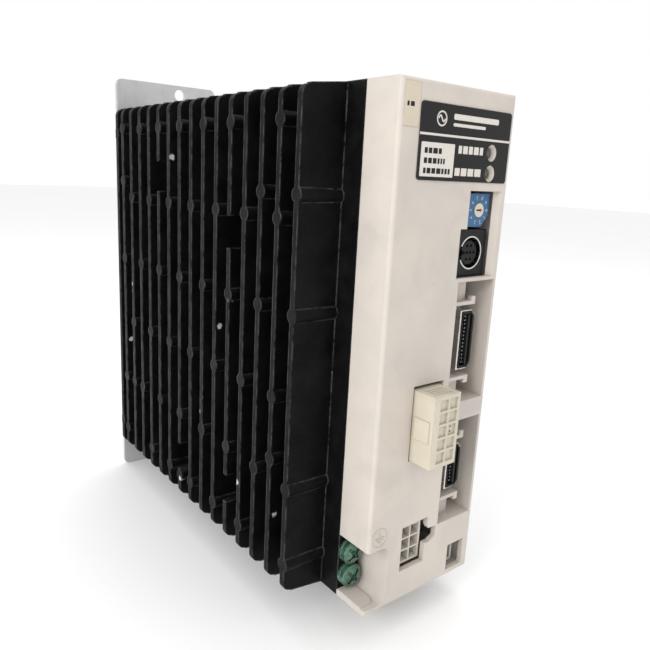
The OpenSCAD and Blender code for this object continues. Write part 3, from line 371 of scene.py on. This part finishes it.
def set_bump(w, shader, height, depth, edge=0.00025):
    """Feeds a height, in metres of depth, to the shader's normal, over rounded edges."""
    bump = w.add("ShaderNodeBump", {"Height": height, "Distance": depth,
                                    "Normal": use(w, "rounded", "Normal", Radius=edge)})
    w.feed(shader.inputs["Normal"], bump.outputs[0])


# ---- Materials --------------------------------------------------------------------------


def moulded_plastic(name, tint, rough=0.5, grain=2600.0, depth=0.00002, grime=0.2, age=0.06,
                    specular=0.4, edge=0.0003):
    """Moulded plastic: fine grain, uneven tone, a painted highlight on its edges, painted shade in
    its corners and a little handling dirt.
    """
    material, w, shader = new_material(name)
    shader.inputs["Specular IOR Level"].default_value = specular
    tone = w.noise(45.0, 3.0, 0.55)
    dark = [c * (1 - age) for c in tint]
    warm = [min(1, c * f) for c, f in zip(tint, (1.0 + age, 1.0 + age * 0.7, 1.0 + age * 0.2))]
    base = w.mix(w.ramp(tone, 0.3, 0.7), dark, warm)
    dirt = use(w, "smudges", "Mask", Amount=grime, Scale=70.0)
    dirt_and_shade_grey = [c * f for c, f in zip(tint, (0.52, 0.5, 0.46))]
    # Painted shade: inner corners and recesses are darkened towards the grey that also colours the
    # real handling smudges.
    darkened_tone = w.mix(use(w, "corners", "Mask", Reach=0.003, Amount=0.3), w.mix(dirt, base, dirt_and_shade_grey), dirt_and_shade_grey)
    # Painted highlight: edges are lightened towards a brighter tint of the plastic.
    lit_and_worn_edge = use(w, "edge_highlight_and_wear", "Mask", Radius=0.0004, Scale=420.0, Amount=0.35)
    w.feed(shader.inputs["Base Color"], w.mix(lit_and_worn_edge, darkened_tone, [min(1, c * 1.25) for c in tint]))
    rough_map = w.ramp(w.noise(120.0, 3.0), 0.3, 0.7, rough - 0.06, rough + 0.08)
    w.feed(shader.inputs["Roughness"], rough_map)
    set_bump(w, shader, use(w, "fine_grain", "Height", Scale=grain), depth, edge)
    return material


def cast_coating(name, tint, highlight_and_bare, wear, edge):
    """Black coating on a rough casting: grey at its edges as painted highlight and worn coating,
    chipped, dusty on top.
    """
    material, w, shader = new_material(name)
    shader.inputs["Specular IOR Level"].default_value = 0.09
    tone = w.ramp(w.noise(110.0, 4.0, 0.6), 0.3, 0.7)
    coat = w.mix(tone, tint, [c * 1.8 + 0.001 for c in tint])
    # Painted highlight and wear: edges turn towards the grey of the highlight and bare metal.
    lit_and_worn_edge = use(w, "edge_highlight_and_wear", "Mask", Radius=0.0007, Scale=260.0, Amount=wear)
    chips = use(w, "chips", "Mask", Scale=70.0, Rarity=0.86)
    dust = use(w, "dust", "Mask", Amount=0.07)
    edge_lit_worn_coat = w.mix(lit_and_worn_edge, coat, highlight_and_bare)
    dusty = w.mix(dust, edge_lit_worn_coat, (0.16, 0.15, 0.14))
    w.feed(shader.inputs["Base Color"], w.mix(chips, dusty, (0.55, 0.55, 0.53)))
    rough = w.ramp(w.noise(240.0, 3.0), 0.3, 0.7, 0.36, 0.56)
    w.feed(shader.inputs["Roughness"], w.math("ADD", rough, w.math("MULTIPLY", dust, 0.4),
                                              clamp=True))
    w.feed(shader.inputs["Metallic"], w.math("MULTIPLY", lit_and_worn_edge, 0.6))
    surface = w.math("ADD", w.noise(900.0, 3.0, 0.6),
                     w.math("MULTIPLY", w.noise(160.0, 2.0), 1.6))
    set_bump(w, shader, w.math("SUBTRACT", surface, chips), 0.00007, edge)
    return material


def plated_sheet(name, tint, low=0.3, high=0.46, spangle=0.05):
    """Zinc-plated sheet: crystals, rolling marks and a painted highlight on its edges."""
    material, w, shader = new_material(name, metallic=0.9)
    tone = use(w, "spangle", "Tone", Scale=320.0)
    lines = use(w, "brushed", "Lines", Scale=1400.0)
    cells = w.mix(tone, [c * (1 - spangle) for c in tint],
                  [min(1, c * (1 + spangle)) for c in tint])
    lined = w.mix(w.math("MULTIPLY", lines, 0.25), cells, [c * 0.72 for c in tint])
    dirt = use(w, "smudges", "Mask", Amount=0.35, Scale=40.0)
    darkened_tone = w.mix(dirt, lined, [c * 0.6 for c in tint])
    # Painted highlight: edges are brightened towards pale zinc.
    edge = use(w, "edge_highlight_and_wear", "Mask", Radius=0.0003, Scale=500.0, Amount=0.6)
    w.feed(shader.inputs["Base Color"], w.mix(edge, darkened_tone, (0.86, 0.86, 0.85)))
    w.feed(shader.inputs["Roughness"], use(w, "brushed", "Roughness", Scale=1400.0, Low=low,
                                           High=high))
    set_bump(w, shader, lines, 0.000012)
    return material


def plated_small(name, tint, low=0.2, high=0.34, metallic=1.0):
    """Plated small metal: screws, shells and pins, with turning marks and dull spots."""
    material, w, shader = new_material(name, metallic=metallic)
    marks = w.noise(3200.0, 2.0, 0.5, at=w.place((1, 0.2, 1)))
    spots = w.ramp(w.noise(700.0, 4.0, 0.6), 0.52, 0.7)
    base = w.mix(w.math("MULTIPLY", marks, 0.3), tint, [c * 0.7 for c in tint])
    w.feed(shader.inputs["Base Color"], w.mix(w.math("MULTIPLY", spots, 0.35), base,
                                              [c * 0.5 for c in tint]))
    w.feed(shader.inputs["Roughness"], w.ramp(w.math("ADD", marks, spots), 0.2, 1.4, low, high))
    set_bump(w, shader, marks, 0.000008)
    return material


def printed_film(name, tint, rough=0.42, grain=5200.0, fade=0.2):
    """Printed film or label paper: faint mottling, fine texture and dusty edges."""
    material, w, shader = new_material(name)
    shader.inputs["Specular IOR Level"].default_value = 0.2
    mottle = w.ramp(w.noise(260.0, 4.0, 0.6), 0.3, 0.7)
    base = w.mix(w.math("MULTIPLY", mottle, fade), tint, [c * 0.8 + 0.01 for c in tint])
    edge = use(w, "edge_highlight_and_wear", "Mask", Radius=0.00025, Scale=700.0, Amount=0.4)
    w.feed(shader.inputs["Base Color"], w.mix(edge, base, [c * 0.5 + 0.2 for c in tint]))
    w.feed(shader.inputs["Roughness"], w.ramp(mottle, 0, 1, rough - 0.04, rough + 0.07))
    set_bump(w, shader, use(w, "fine_grain", "Height", Scale=grain), 0.000006)
    return material


def green_chromate(name, tint):
    """Glossy green conversion coating, lighter on its edges as painted highlight and where it is
    rubbed thin.
    """
    material, w, shader = new_material(name, metallic=0.55, Coat_Weight=0.55)
    shader.inputs["Coat Roughness"].default_value = 0.12
    tone = w.ramp(w.noise(500.0, 4.0, 0.6), 0.25, 0.75)
    base = w.mix(tone, [c * 0.75 for c in tint], [min(1, c * 1.5 + 0.02) for c in tint])
    # Painted highlight and rubbed-thin coating: edges are lightened towards pale green.
    edge = use(w, "edge_highlight_and_wear", "Mask", Radius=0.0003, Scale=800.0, Amount=0.55)
    w.feed(shader.inputs["Base Color"], w.mix(edge, base, (0.5, 0.58, 0.5)))
    w.feed(shader.inputs["Roughness"], w.ramp(tone, 0, 1, 0.18, 0.34))
    set_bump(w, shader, w.noise(1500.0, 3.0), 0.00001)
    return material


def clear_guide(name, tint):
    """Frosted clear plastic of the light guides."""
    material, w, shader = new_material(name, Transmission_Weight=0.35, IOR=1.49)
    streaks = w.noise(900.0, 3.0)
    w.feed(shader.inputs["Base Color"], w.mix(streaks, tint, [c * 0.75 for c in tint]))
    w.feed(shader.inputs["Roughness"], w.ramp(streaks, 0.3, 0.7, 0.12, 0.3))
    set_bump(w, shader, streaks, 0.00001)
    return material


def laminate(name, tint):
    """Circuit board: solder mask over a pattern of tracks, with tinned pads."""
    material, w, shader = new_material(name)
    tracks = w.add("ShaderNodeTexBrick", {"Vector": w.add("ShaderNodeMapping", {
        "Vector": w.place(), "Rotation": (0, math.radians(90), 0)}).outputs[0], "Scale": 160.0,
        "Mortar Size": 0.06, "Brick Width": 0.9, "Row Height": 0.22},
        offset=0.37).outputs["Fac"]
    pads = w.add("ShaderNodeTexVoronoi", {"Vector": w.place(), "Scale": 330.0}).outputs["Distance"]
    pad = w.ramp(pads, 0.16, 0.12)
    lines = w.mix(tracks, tint, [c * 1.7 + 0.01 for c in tint])
    w.feed(shader.inputs["Base Color"], w.mix(pad, lines, (0.62, 0.6, 0.52)))
    w.feed(shader.inputs["Metallic"], w.math("MULTIPLY", pad, 0.8))
    w.feed(shader.inputs["Roughness"], w.ramp(w.noise(300.0), 0.3, 0.7, 0.25, 0.42))
    set_bump(w, shader, w.math("ADD", tracks, pad), 0.00002)
    return material


def wound_wire(name, tint):
    """Enamelled wire."""
    material, w, shader = new_material(name, metallic=0.8, Coat_Weight=0.5)
    shade = w.noise(1200.0, 3.0)
    w.feed(shader.inputs["Base Color"], w.mix(shade, tint, [c * 0.55 for c in tint]))
    w.feed(shader.inputs["Roughness"], w.ramp(shade, 0.3, 0.7, 0.2, 0.38))
    set_bump(w, shader, shade, 0.00002)
    return material


def clear_glass(name):
    """The fuse's glass tube."""
    material, w, shader = new_material(name, Transmission_Weight=0.9, IOR=1.5)
    film = w.noise(500.0, 3.0)
    w.feed(shader.inputs["Base Color"], w.mix(film, (0.9, 0.94, 0.93), (0.8, 0.86, 0.85)))
    w.feed(shader.inputs["Roughness"], w.ramp(film, 0.3, 0.7, 0.02, 0.1))
    return material


def build_materials():
    """One material for each of the record's slots, by slot name."""
    house = bpy.context.scene.servo_housing
    part = bpy.context.scene.servo_details
    cover = moulded_plastic("cover_plastic", list(house.cover), 0.52, 2100.0, 0.00003,
                            house.grime * 0.6, edge=house.edge)
    return {
        "cover_plastic": cover,
        "heat_sink_coating": cast_coating("heat_sink_coating", list(house.coating),
                                          list(house.bare_metal), house.wear,
                                          house.fin_edge),
        "zinc_sheet": plated_sheet("zinc_sheet", list(house.sheet)),
        "plate_steel": plated_sheet("plate_steel", list(house.plate), 0.34, 0.5, 0.03),
        "nameplate_film": printed_film("nameplate_film", list(part.film), 0.4),
        "label_white": printed_film("label_white", list(part.paper), 0.5),
        "label_beige": printed_film("label_beige", list(part.beige), 0.5),
        "light_plastic": clear_guide("light_plastic", (0.16, 0.16, 0.155)),
        "led_plastic": clear_guide("led_plastic", (0.35, 0.55, 0.3)),
        "power_laminate": laminate("power_laminate", (0.02, 0.11, 0.05)),
        "control_laminate": laminate("control_laminate", (0.01, 0.14, 0.06)),
        "insulation_film": printed_film("insulation_film", (0.7, 0.7, 0.62), 0.3),
        "standoff_brass": plated_small("standoff_brass", (0.68, 0.5, 0.22)),
        "screw_zinc": plated_small("screw_zinc", (0.6, 0.6, 0.58), 0.24, 0.4),
        "screw_dark": plated_small("screw_dark", (0.3, 0.3, 0.31), 0.28, 0.45),
        "moulding_black": moulded_plastic("moulding_black", [0.02, 0.02, 0.022], 0.5, 1800.0),
        "capacitor_sleeve": moulded_plastic("capacitor_sleeve", [0.02, 0.04, 0.13], 0.28, 900.0),
        "capacitor_sleeve_black": moulded_plastic("capacitor_sleeve_black", [0.02, 0.02, 0.02],
                                                  0.28, 900.0),
        "capacitor_yellow": moulded_plastic("capacitor_yellow", [0.6, 0.42, 0.06], 0.3, 1200.0),
        "ferrite": moulded_plastic("ferrite", [0.05, 0.05, 0.055], 0.6, 1500.0),
        "coil_tape": moulded_plastic("coil_tape", [0.62, 0.42, 0.08], 0.25, 700.0),
        "copper_wire": wound_wire("copper_wire", (0.55, 0.2, 0.07)),
        "relay_blue": moulded_plastic("relay_blue", [0.03, 0.07, 0.22], 0.35, 1500.0),
        "cement": moulded_plastic("cement", [0.62, 0.6, 0.53], 0.75, 1100.0, 0.00006),
        "fuse_glass": clear_glass("fuse_glass"),
        "contact_tin": plated_small("contact_tin", (0.78, 0.78, 0.76), 0.18, 0.32),
        "contact_gold": plated_small("contact_gold", (0.83, 0.58, 0.2), 0.16, 0.3),
        "connector_black": moulded_plastic("connector_black", list(part.black), 0.42, 2600.0,
                                           specular=0.25),
        "connector_white": moulded_plastic("connector_white", list(part.header), 0.4, 2600.0),
        "plug_cream": moulded_plastic("plug_cream", list(part.nylon), 0.34, 1500.0, 0.00003, 0.3,
                                      edge=0.0004),
        "shell_nickel": plated_small("shell_nickel", (0.72, 0.71, 0.69), 0.2, 0.34),
        "switch_blue": moulded_plastic("switch_blue", list(part.blue), 0.36, 2400.0),
        "dial_ivory": moulded_plastic("dial_ivory", list(part.ivory), 0.4, 2400.0),
        "earth_green": green_chromate("earth_green", list(part.green)),
        "earth_green_washer": green_chromate("earth_green_washer",
                                             [c * 1.3 for c in part.green]),
    }


MATERIALS = {}


def material_for(slot):
    """The finished material of a record slot; all are made on first use."""
    if not MATERIALS:
        MATERIALS.update(build_materials())
    return MATERIALS[slot]


SLOT_OF = {row["node"]: row["material_slot"] for row in frame["record"]["subparts"]}


def finish_node(node):
    """Gives a carried-over CAD node its slot's material."""
    mesh = frame["nodes"][node].data
    mesh.materials.clear()
    mesh.materials.append(material_for(SLOT_OF[node]))


# ---- Flat outlines and thin pieces ------------------------------------------------------


def bar(x0, z0, x1, z1, radius=0.0, steps=4):
    """A rectangle in millimetres, with rounded corners if a radius is given."""
    radius = min(radius, (x1 - x0) / 2, (z1 - z0) / 2)
    if radius <= 0:
        return [(x0, z0), (x1, z0), (x1, z1), (x0, z1)]
    points = []
    for cx, cz, start in ((x1 - radius, z0 + radius, -90), (x1 - radius, z1 - radius, 0),
                          (x0 + radius, z1 - radius, 90), (x0 + radius, z0 + radius, 180)):
        for k in range(steps + 1):
            a = math.radians(start + 90 * k / steps)
            points.append((cx + radius * math.cos(a), cz + radius * math.sin(a)))
    return points


def ribbon(points, width):
    """A line of the given width along the points."""
    left, right = [], []
    for k, (x, z) in enumerate(points):
        x0, z0 = points[max(k - 1, 0)]
        x1, z1 = points[min(k + 1, len(points) - 1)]
        reach = math.hypot(x1 - x0, z1 - z0) or 1
        nx, nz = -(z1 - z0) / reach * width / 2, (x1 - x0) / reach * width / 2
        left.append((x + nx, z + nz))
        right.append((x - nx, z - nz))
    return right + left[::-1]


def circle(cx, cz, radius, steps=48):
    """A circle's points."""
    return [(cx + radius * math.cos(math.tau * k / steps),
             cz + radius * math.sin(math.tau * k / steps)) for k in range(steps)]


def wave(x0, x1, z, height, turns=1.0, shift=0.0, steps=28):
    """Points along a sine wave."""
    return [(x0 + (x1 - x0) * k / steps,
             z + height * math.sin(math.tau * (turns * k / steps + shift)))
            for k in range(steps + 1)]


def dashes(x0, z0, x1, z1, seed, mean=1.5, gap=0.35):
    """A row of short rounded bars that stands for a line of small print."""
    draw = random.Random(seed)
    row, x = [], x0
    while x < x1 - mean * 0.5:
        end = min(x + mean * draw.uniform(0.5, 1.5), x1)
        row.append(bar(x, z0, end, z1, 0.12, 2))
        x = end + gap
    return row


def add_loop(mesh, loop, place):
    """The loop's vertices at place(u, v)."""
    return [mesh.verts.new(place(u, v)) for u, v in loop]


def thin_piece(name, loops, place, lift, slot, body="housing", rings=()):
    """A thin piece from closed outlines; place(u, v) is a point and lift its outward depth."""
    mesh = bmesh.new()
    for loop in loops:
        top = add_loop(mesh, loop, lambda u, v: place(u, v) + lift)
        low = add_loop(mesh, loop, place)
        mesh.faces.new(top)
        mesh.faces.new(low[::-1])
        for k in range(len(top)):
            n = (k + 1) % len(top)
            mesh.faces.new((low[k], low[n], top[n], top[k]))
    for outer, inner in rings:
        levels = [add_loop(mesh, loop, lambda u, v: place(u, v) + depth)
                  for loop, depth in ((outer, Vector()), (outer, lift), (inner, lift),
                                      (inner, Vector()))]
        for k in range(len(outer)):
            n = (k + 1) % len(outer)
            for a, b in zip(levels, levels[1:] + levels[:1]):
                mesh.faces.new((a[k], a[n], b[n], b[k]))
    bmesh.ops.recalc_face_normals(mesh, faces=mesh.faces[:])
    return finish_piece(name, mesh, slot, body)


def finish_piece(name, mesh, slot, body):
    """Turns a bmesh into an object with its slot's material, riding on a body."""
    data = bpy.data.meshes.new(name)
    mesh.to_mesh(data)
    mesh.free()
    piece = bpy.data.objects.new(name, data)
    bpy.context.scene.collection.objects.link(piece)
    data.materials.append(material_for(slot))
    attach(piece, body)
    return piece


def on_front(y):
    """place() for a piece that lies on a surface facing the front, at depth y."""
    return lambda x, z: Vector((CORNER.x + x * MM, y, CORNER.z + z * MM))


def front_zone(node):
    """A front piece's left, right, foot and top in millimetres, and place() on its face."""
    low, high = ((c - CORNER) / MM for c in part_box(node))
    return low.x, high.x, low.z, high.z, on_front(CORNER.y + low.y * MM)


OUT = Vector((0, -1, 0))        # the way the front faces


# ---- Stage ------------------------------------------------------------------------------


FLOOR_SIZE, FLOOR_GAP = 8, 0.0002
SENSOR_WIDTH = 36
LIGHTS = (                           # name, place from the middle, size, share of the key light
    ("key_light", (-0.9, -0.25, 0.45), 0.6, 1.0),
    ("top_light", (0.1, 0.1, 0.9), 0.8, 0.4),
)


class SERVO_OT_stage(bpy.types.Operator):
    """Makes the floor, the lights, the white surround and the camera"""

    bl_idname = "servo.build_stage"
    bl_label = "Build Stage"

    def execute(self, context):
        stage = context.scene.servo_stage
        context.scene.view_settings.view_transform = "Standard"
        self.floor(stage)
        self.lights(stage)
        self.camera(context, stage)
        return {"FINISHED"}

    def floor(self, stage):
        """A pale paper floor, just under the lower ear."""
        low = CAD_BOX[0].z
        bpy.ops.mesh.primitive_plane_add(size=FLOOR_SIZE, location=(0, 0, low - FLOOR_GAP))
        floor = bpy.context.object
        floor.name = "stage_floor"
        material, w, shader = new_material("floor_paper")
        tone = w.noise(6.0, 3.0)
        light = list(stage.floor)
        w.feed(shader.inputs["Base Color"], w.mix(tone, light, [c * 0.98 for c in light]))
        w.feed(shader.inputs["Roughness"], w.ramp(tone, 0.3, 0.7, 0.75, 0.85))
        floor.data.materials.append(material)

    def lights(self, stage):
        """A white surround and two large soft lights."""
        world = bpy.data.worlds.new("surround")
        world.use_nodes = True
        background = world.node_tree.nodes["Background"]
        background.inputs["Color"].default_value = (1, 1, 1, 1)
        background.inputs["Strength"].default_value = stage.world
        bpy.context.scene.world = world
        centre = (CAD_BOX[0] + CAD_BOX[1]) / 2
        for name, place, size, part in LIGHTS:
            data = bpy.data.lights.new(name, "AREA")
            data.shape = "DISK"
            data.size = size
            data.energy = stage.key * part
            lamp = bpy.data.objects.new(name, data)
            lamp.location = centre + Vector(place)
            aim = centre - lamp.location
            lamp.rotation_euler = aim.to_track_quat("-Z", "Y").to_euler()
            bpy.context.scene.collection.objects.link(lamp)

    def camera(self, context, stage):
        """The camera, turned to its heading and then rolled."""
        data = bpy.data.cameras.new("camera")
        data.lens = stage.lens
        data.sensor_width = SENSOR_WIDTH
        data.shift_x, data.shift_y = stage.shift
        data.clip_start = 0.01
        camera = bpy.data.objects.new("camera", data)
        flat = math.cos(stage.pitch)
        look = Vector((math.sin(stage.azimuth) * flat, math.cos(stage.azimuth) * flat,
                       -math.sin(stage.pitch)))
        turn = look.to_track_quat("-Z", "Y").to_matrix()
        camera.matrix_world = (Matrix.Translation(Vector(stage.eye)) @ turn.to_4x4()
                               @ Matrix.Rotation(stage.roll, 4, "Z"))
        context.scene.collection.objects.link(camera)
        context.scene.camera = camera


# ---- Pieces -----------------------------------------------------------------------------


class SERVO_OT_housing(bpy.types.Operator):
    """Finishes the cover, the shell and the rear plate"""

    bl_idname = "servo.finish_housing"
    bl_label = "Finish Housing"

    def execute(self, context):
        for node in ("front_cover", "side_shell", "rear_plate", "case_screws"):
            finish_node(node)
        return {"FINISHED"}


class SERVO_OT_heat_sink(bpy.types.Operator):
    """Finishes the finned casting"""

    bl_idname = "servo.finish_heat_sink"
    bl_label = "Finish Heat Sink"

    def execute(self, context):
        for node in ("heat_sink", "base_screws"):
            finish_node(node)
        return {"FINISHED"}


class SERVO_OT_inside(bpy.types.Operator):
    """Finishes every CAD node, the ports and the parts inside among them"""

    bl_idname = "servo.finish_inside"
    bl_label = "Finish Inside Parts"

    def execute(self, context):
        for node in frame["nodes"]:
            finish_node(node)
        return {"FINISHED"}


# Nameplate layout, in millimetres in from its left edge and down from its top edge
RULE = (8.7, 8.05)                                  # foot and top of the line across
WORD_BARS = ((13.2, 3.9, 33.4, 2.3, 0.5), (13.2, 5.7, 27.5, 4.8, 0.4))
CAPTIONS = ((16.3, 12.9, 27.3, 10.7, 3), (15.4, 19.1, 28.3, 16.9, 5))
SYMBOL = (8.3, 4.0)
SYMBOL_RADII = (2.1, 1.65)
SYMBOL_WAVE = (1.4, 0.75, 0.5)                      # half its length, its height, its width

# Small labels: the reach of each printed line, as a share of the width, and their spacing
LABEL_REACHES = (0.62, 0.72, 0.92)
LABEL_FIRST, LABEL_PITCH = 2.2, 2.7
SIDE_ROWS = 8
SIDE_MARGIN = (2.5, 3.0)


class SERVO_OT_nameplate(bpy.types.Operator):
    """Prints the nameplate's line, symbol and greyed-out words, and the labels' print"""

    bl_idname = "servo.print_nameplate"
    bl_label = "Print Nameplate"

    def execute(self, context):
        depth = context.scene.servo_details.print_depth
        self.plate(OUT * depth)
        self.label(OUT * depth)
        self.corner(OUT * depth)
        self.side(depth)
        return {"FINISHED"}

    def plate(self, lift):
        """The nameplate: a line, a ring with a wave, and bars in place of words."""
        left, right, _, top, face = front_zone("nameplate")
        x, z = left + SYMBOL[0], top - SYMBOL[1]
        half, height, width = SYMBOL_WAVE
        marks = [bar(left, top - RULE[0], right, top - RULE[1]),
                 ribbon(wave(x - half, x + half, z, height), width)]
        for x0, z0, x1, z1, corner in WORD_BARS:
            marks.append(bar(left + x0, top - z0, left + x1, top - z1, corner))
        for x0, z0, x1, z1, seed in CAPTIONS:
            marks += dashes(left + x0, top - z0, left + x1, top - z1, seed, 2.0, 0.5)
        ring = tuple(circle(x, z, radius) for radius in SYMBOL_RADII)
        thin_piece("nameplate_print", marks, face, lift, "label_white", rings=[ring])

    def label(self, lift):
        """Three lines of small print on the front label."""
        left, right, _, top, face = front_zone("front_label")
        lines = []
        for k, reach in enumerate(LABEL_REACHES):
            z = top - LABEL_FIRST - k * LABEL_PITCH
            lines += dashes(left + 1.3, z - 0.75, left + (right - left) * reach, z + 0.75,
                            11 + k, 1.3, 0.4)
        thin_piece("front_label_print", lines, face, lift, "nameplate_film")

    def corner(self, lift):
        """One short line on the corner label."""
        left, right, foot, top, face = front_zone("corner_label")
        middle = (foot + top) / 2
        lines = dashes(left + 1.0, middle - 0.6, right - 1.0, middle + 0.6, 21, 1.2, 0.5)
        thin_piece("corner_label_print", lines, face, lift, "nameplate_film")

    def side(self, depth):
        """A table of small print on the side label."""
        low, high = ((c - CORNER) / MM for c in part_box("side_label"))
        left, right = low.y + SIDE_MARGIN[0], high.y - SIDE_MARGIN[0]
        foot, top = low.z + SIDE_MARGIN[1], high.z - SIDE_MARGIN[1]
        pitch, width = (top - foot) / SIDE_ROWS, right - left
        marks = []
        for k in range(SIDE_ROWS + 1):
            z = foot + k * pitch
            marks.append(bar(left, z - 0.1, right, z + 0.1))
            if k == SIDE_ROWS:
                break
            low_z, high_z = z + pitch * 0.38, z + pitch * 0.62
            end = left + width * (0.6 + 0.035 * (k * 5 % 9))
            marks += dashes(left + 1.2, low_z, left + width * 0.32, high_z, 31 + k, 2.2, 0.6)
            marks += dashes(left + width * 0.4, low_z, end, high_z, 61 + k, 2.2, 0.6)
        thin_piece("side_label_print", marks,
                   lambda y, z: CORNER + Vector((high.x, y, z)) * MM,
                   Vector((depth * 0.4, 0, 0)), "nameplate_film")


# Address switch, in millimetres: digits' distance from the dial, and the arrow in the dial
DIGIT_OFFSET = 1.65
ARROW = ((-1.2, -0.2), (0.5, -0.2), (0.5, -0.5), (1.35, 0), (0.5, 0.5), (0.5, 0.2), (-1.2, 0.2))
ARROW_TICKS = ((-0.12, 0.75, 0.12, 1.25), (-0.12, -1.25, 0.12, -0.75))
ARROW_SUNK, ARROW_DEPTH = 0.8, 0.3


class SERVO_OT_switch(bpy.types.Operator):
    """Puts the digits on the address switch and the dark arrow in its dial"""

    bl_idname = "servo.build_switch"
    bl_label = "Build Switch Print"

    def execute(self, context):
        low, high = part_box("address_switch_dial")
        centre = (low + high) / 2
        self.digits(centre, (high.x - low.x) / 2, context.scene.servo_details.digit)
        self.arrow(centre, low.y + ARROW_SUNK * MM)
        return {"FINISHED"}

    def digits(self, centre, radius, height):
        """0 to 9 around the dial, with 0 on the right."""
        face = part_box("address_switch_body")[0].y
        mesh = bmesh.new()
        for digit in range(10):
            angle = -math.tau * digit / 10
            away = Vector((math.cos(angle), 0, math.sin(angle)))
            place = Vector((centre.x, face, centre.z)) + away * (radius + DIGIT_OFFSET * MM)
            self.add_digit(mesh, str(digit), place, angle, height)
        finish_piece("switch_digits", mesh, "label_white", "housing")

    def arrow(self, centre, floor):
        """The dark arrow and two ticks, which turn with the dial."""
        loops = [ARROW] + [bar(*tick) for tick in ARROW_TICKS]
        thin_piece("dial_arrow", loops,
                   lambda x, z: Vector((centre.x + x * MM, floor, centre.z + z * MM)),
                   OUT * ARROW_DEPTH * MM, "nameplate_film", body="address_dial")

    def add_digit(self, mesh, text, place, angle, height):
        """Adds one raised digit whose foot points at the dial."""
        data = bpy.data.curves.new("digit", "FONT")
        data.body = text
        data.size = height * 1.35
        data.extrude = 0.02 * MM
        data.align_x = "CENTER"
        data.align_y = "CENTER"
        data.resolution_u = 3
        holder = bpy.data.objects.new("digit", data)
        bpy.context.scene.collection.objects.link(holder)
        bpy.context.view_layer.update()
        solid = holder.evaluated_get(bpy.context.evaluated_depsgraph_get()).to_mesh()
        turn = (Matrix.Translation(place) @ Matrix.Rotation(math.pi / 2 - angle, 4, "Y")
                @ Matrix.Rotation(math.pi / 2, 4, "X"))
        piece = bmesh.new()
        piece.from_mesh(solid)
        piece.transform(turn)
        moved = bpy.data.meshes.new("digit")
        piece.to_mesh(moved)
        piece.free()
        mesh.from_mesh(moved)
        bpy.data.meshes.remove(moved)
        bpy.data.objects.remove(holder)
        bpy.data.curves.remove(data)


# Earth mark, in millimetres from the cover's lower left corner
EARTH_AT = (4.4, 26.1)
EARTH_RADII = (3.25, 2.9)
EARTH_BARS = (1.9, 1.25, 0.6)       # half lengths, from the top down
EARTH_PITCH, EARTH_LINE = 0.75, 0.3
EARTH_RISE, EARTH_SOFT = 0.16, 0.06


class SERVO_OT_earth_mark(bpy.types.Operator):
    """Raises the moulded earth mark above the earth pocket"""

    bl_idname = "servo.build_earth_mark"
    bl_label = "Build Earth Mark"

    def execute(self, context):
        x, z = EARTH_AT
        loops = [bar(x - 0.16, z + 0.2, x + 0.16, z + 2.0)]
        for k, half in enumerate(EARTH_BARS):
            foot = z - 0.1 - k * EARTH_PITCH
            loops.append(bar(x - half, foot, x + half, foot + EARTH_LINE))
        ring = tuple(circle(x, z, radius, 64) for radius in EARTH_RADII)
        piece = thin_piece("earth_mark", loops, on_front(CORNER.y), OUT * EARTH_RISE * MM,
                           "cover_plastic", rings=[ring])
        soften = piece.modifiers.new("edges", "BEVEL")
        soften.width = EARTH_SOFT * MM
        soften.segments = 2
        return {"FINISHED"}


# ---- Panel and registration -------------------------------------------------------------


class SERVO_PT_panel(bpy.types.Panel):
    """Lists the drive's pieces in the sidebar"""

    bl_label = "Servo Drive"
    bl_space_type = "VIEW_3D"
    bl_region_type = "UI"
    bl_category = "Servo Drive"

    def draw(self, context):
        layout = self.layout
        for group in (context.scene.servo_housing, context.scene.servo_details,
                      context.scene.servo_stage):
            box = layout.box()
            for name in group.bl_rna.properties.keys():
                if name not in {"rna_type", "name"}:
                    box.prop(group, name)
        for step in STEPS:
            layout.operator(step)


STEPS = (
    "servo.build_stage",
    "servo.finish_inside",
    "servo.finish_housing",
    "servo.finish_heat_sink",
    "servo.print_nameplate",
    "servo.build_switch",
    "servo.build_earth_mark",
)

CLASSES = (
    ServoHousing,
    ServoDetails,
    ServoStage,
    SERVO_OT_stage,
    SERVO_OT_housing,
    SERVO_OT_heat_sink,
    SERVO_OT_inside,
    SERVO_OT_nameplate,
    SERVO_OT_switch,
    SERVO_OT_earth_mark,
    SERVO_PT_panel,
)


def register():
    """Adds the classes and their scene properties."""
    for each in CLASSES:
        bpy.utils.register_class(each)
    bpy.types.Scene.servo_housing = PointerProperty(type=ServoHousing)
    bpy.types.Scene.servo_details = PointerProperty(type=ServoDetails)
    bpy.types.Scene.servo_stage = PointerProperty(type=ServoStage)


def unregister():
    """Takes them away again."""
    del bpy.types.Scene.servo_stage
    del bpy.types.Scene.servo_details
    del bpy.types.Scene.servo_housing
    for each in reversed(CLASSES):
        bpy.utils.unregister_class(each)


def main():
    """Builds everything around the frame."""
    register()
    bpy.ops.servo.build_stage()
    bpy.ops.servo.finish_inside()
    bpy.ops.servo.finish_housing()
    bpy.ops.servo.finish_heat_sink()
    bpy.ops.servo.print_nameplate()
    bpy.ops.servo.build_switch()
    bpy.ops.servo.build_earth_mark()


if __name__ == "__main__":
    main()
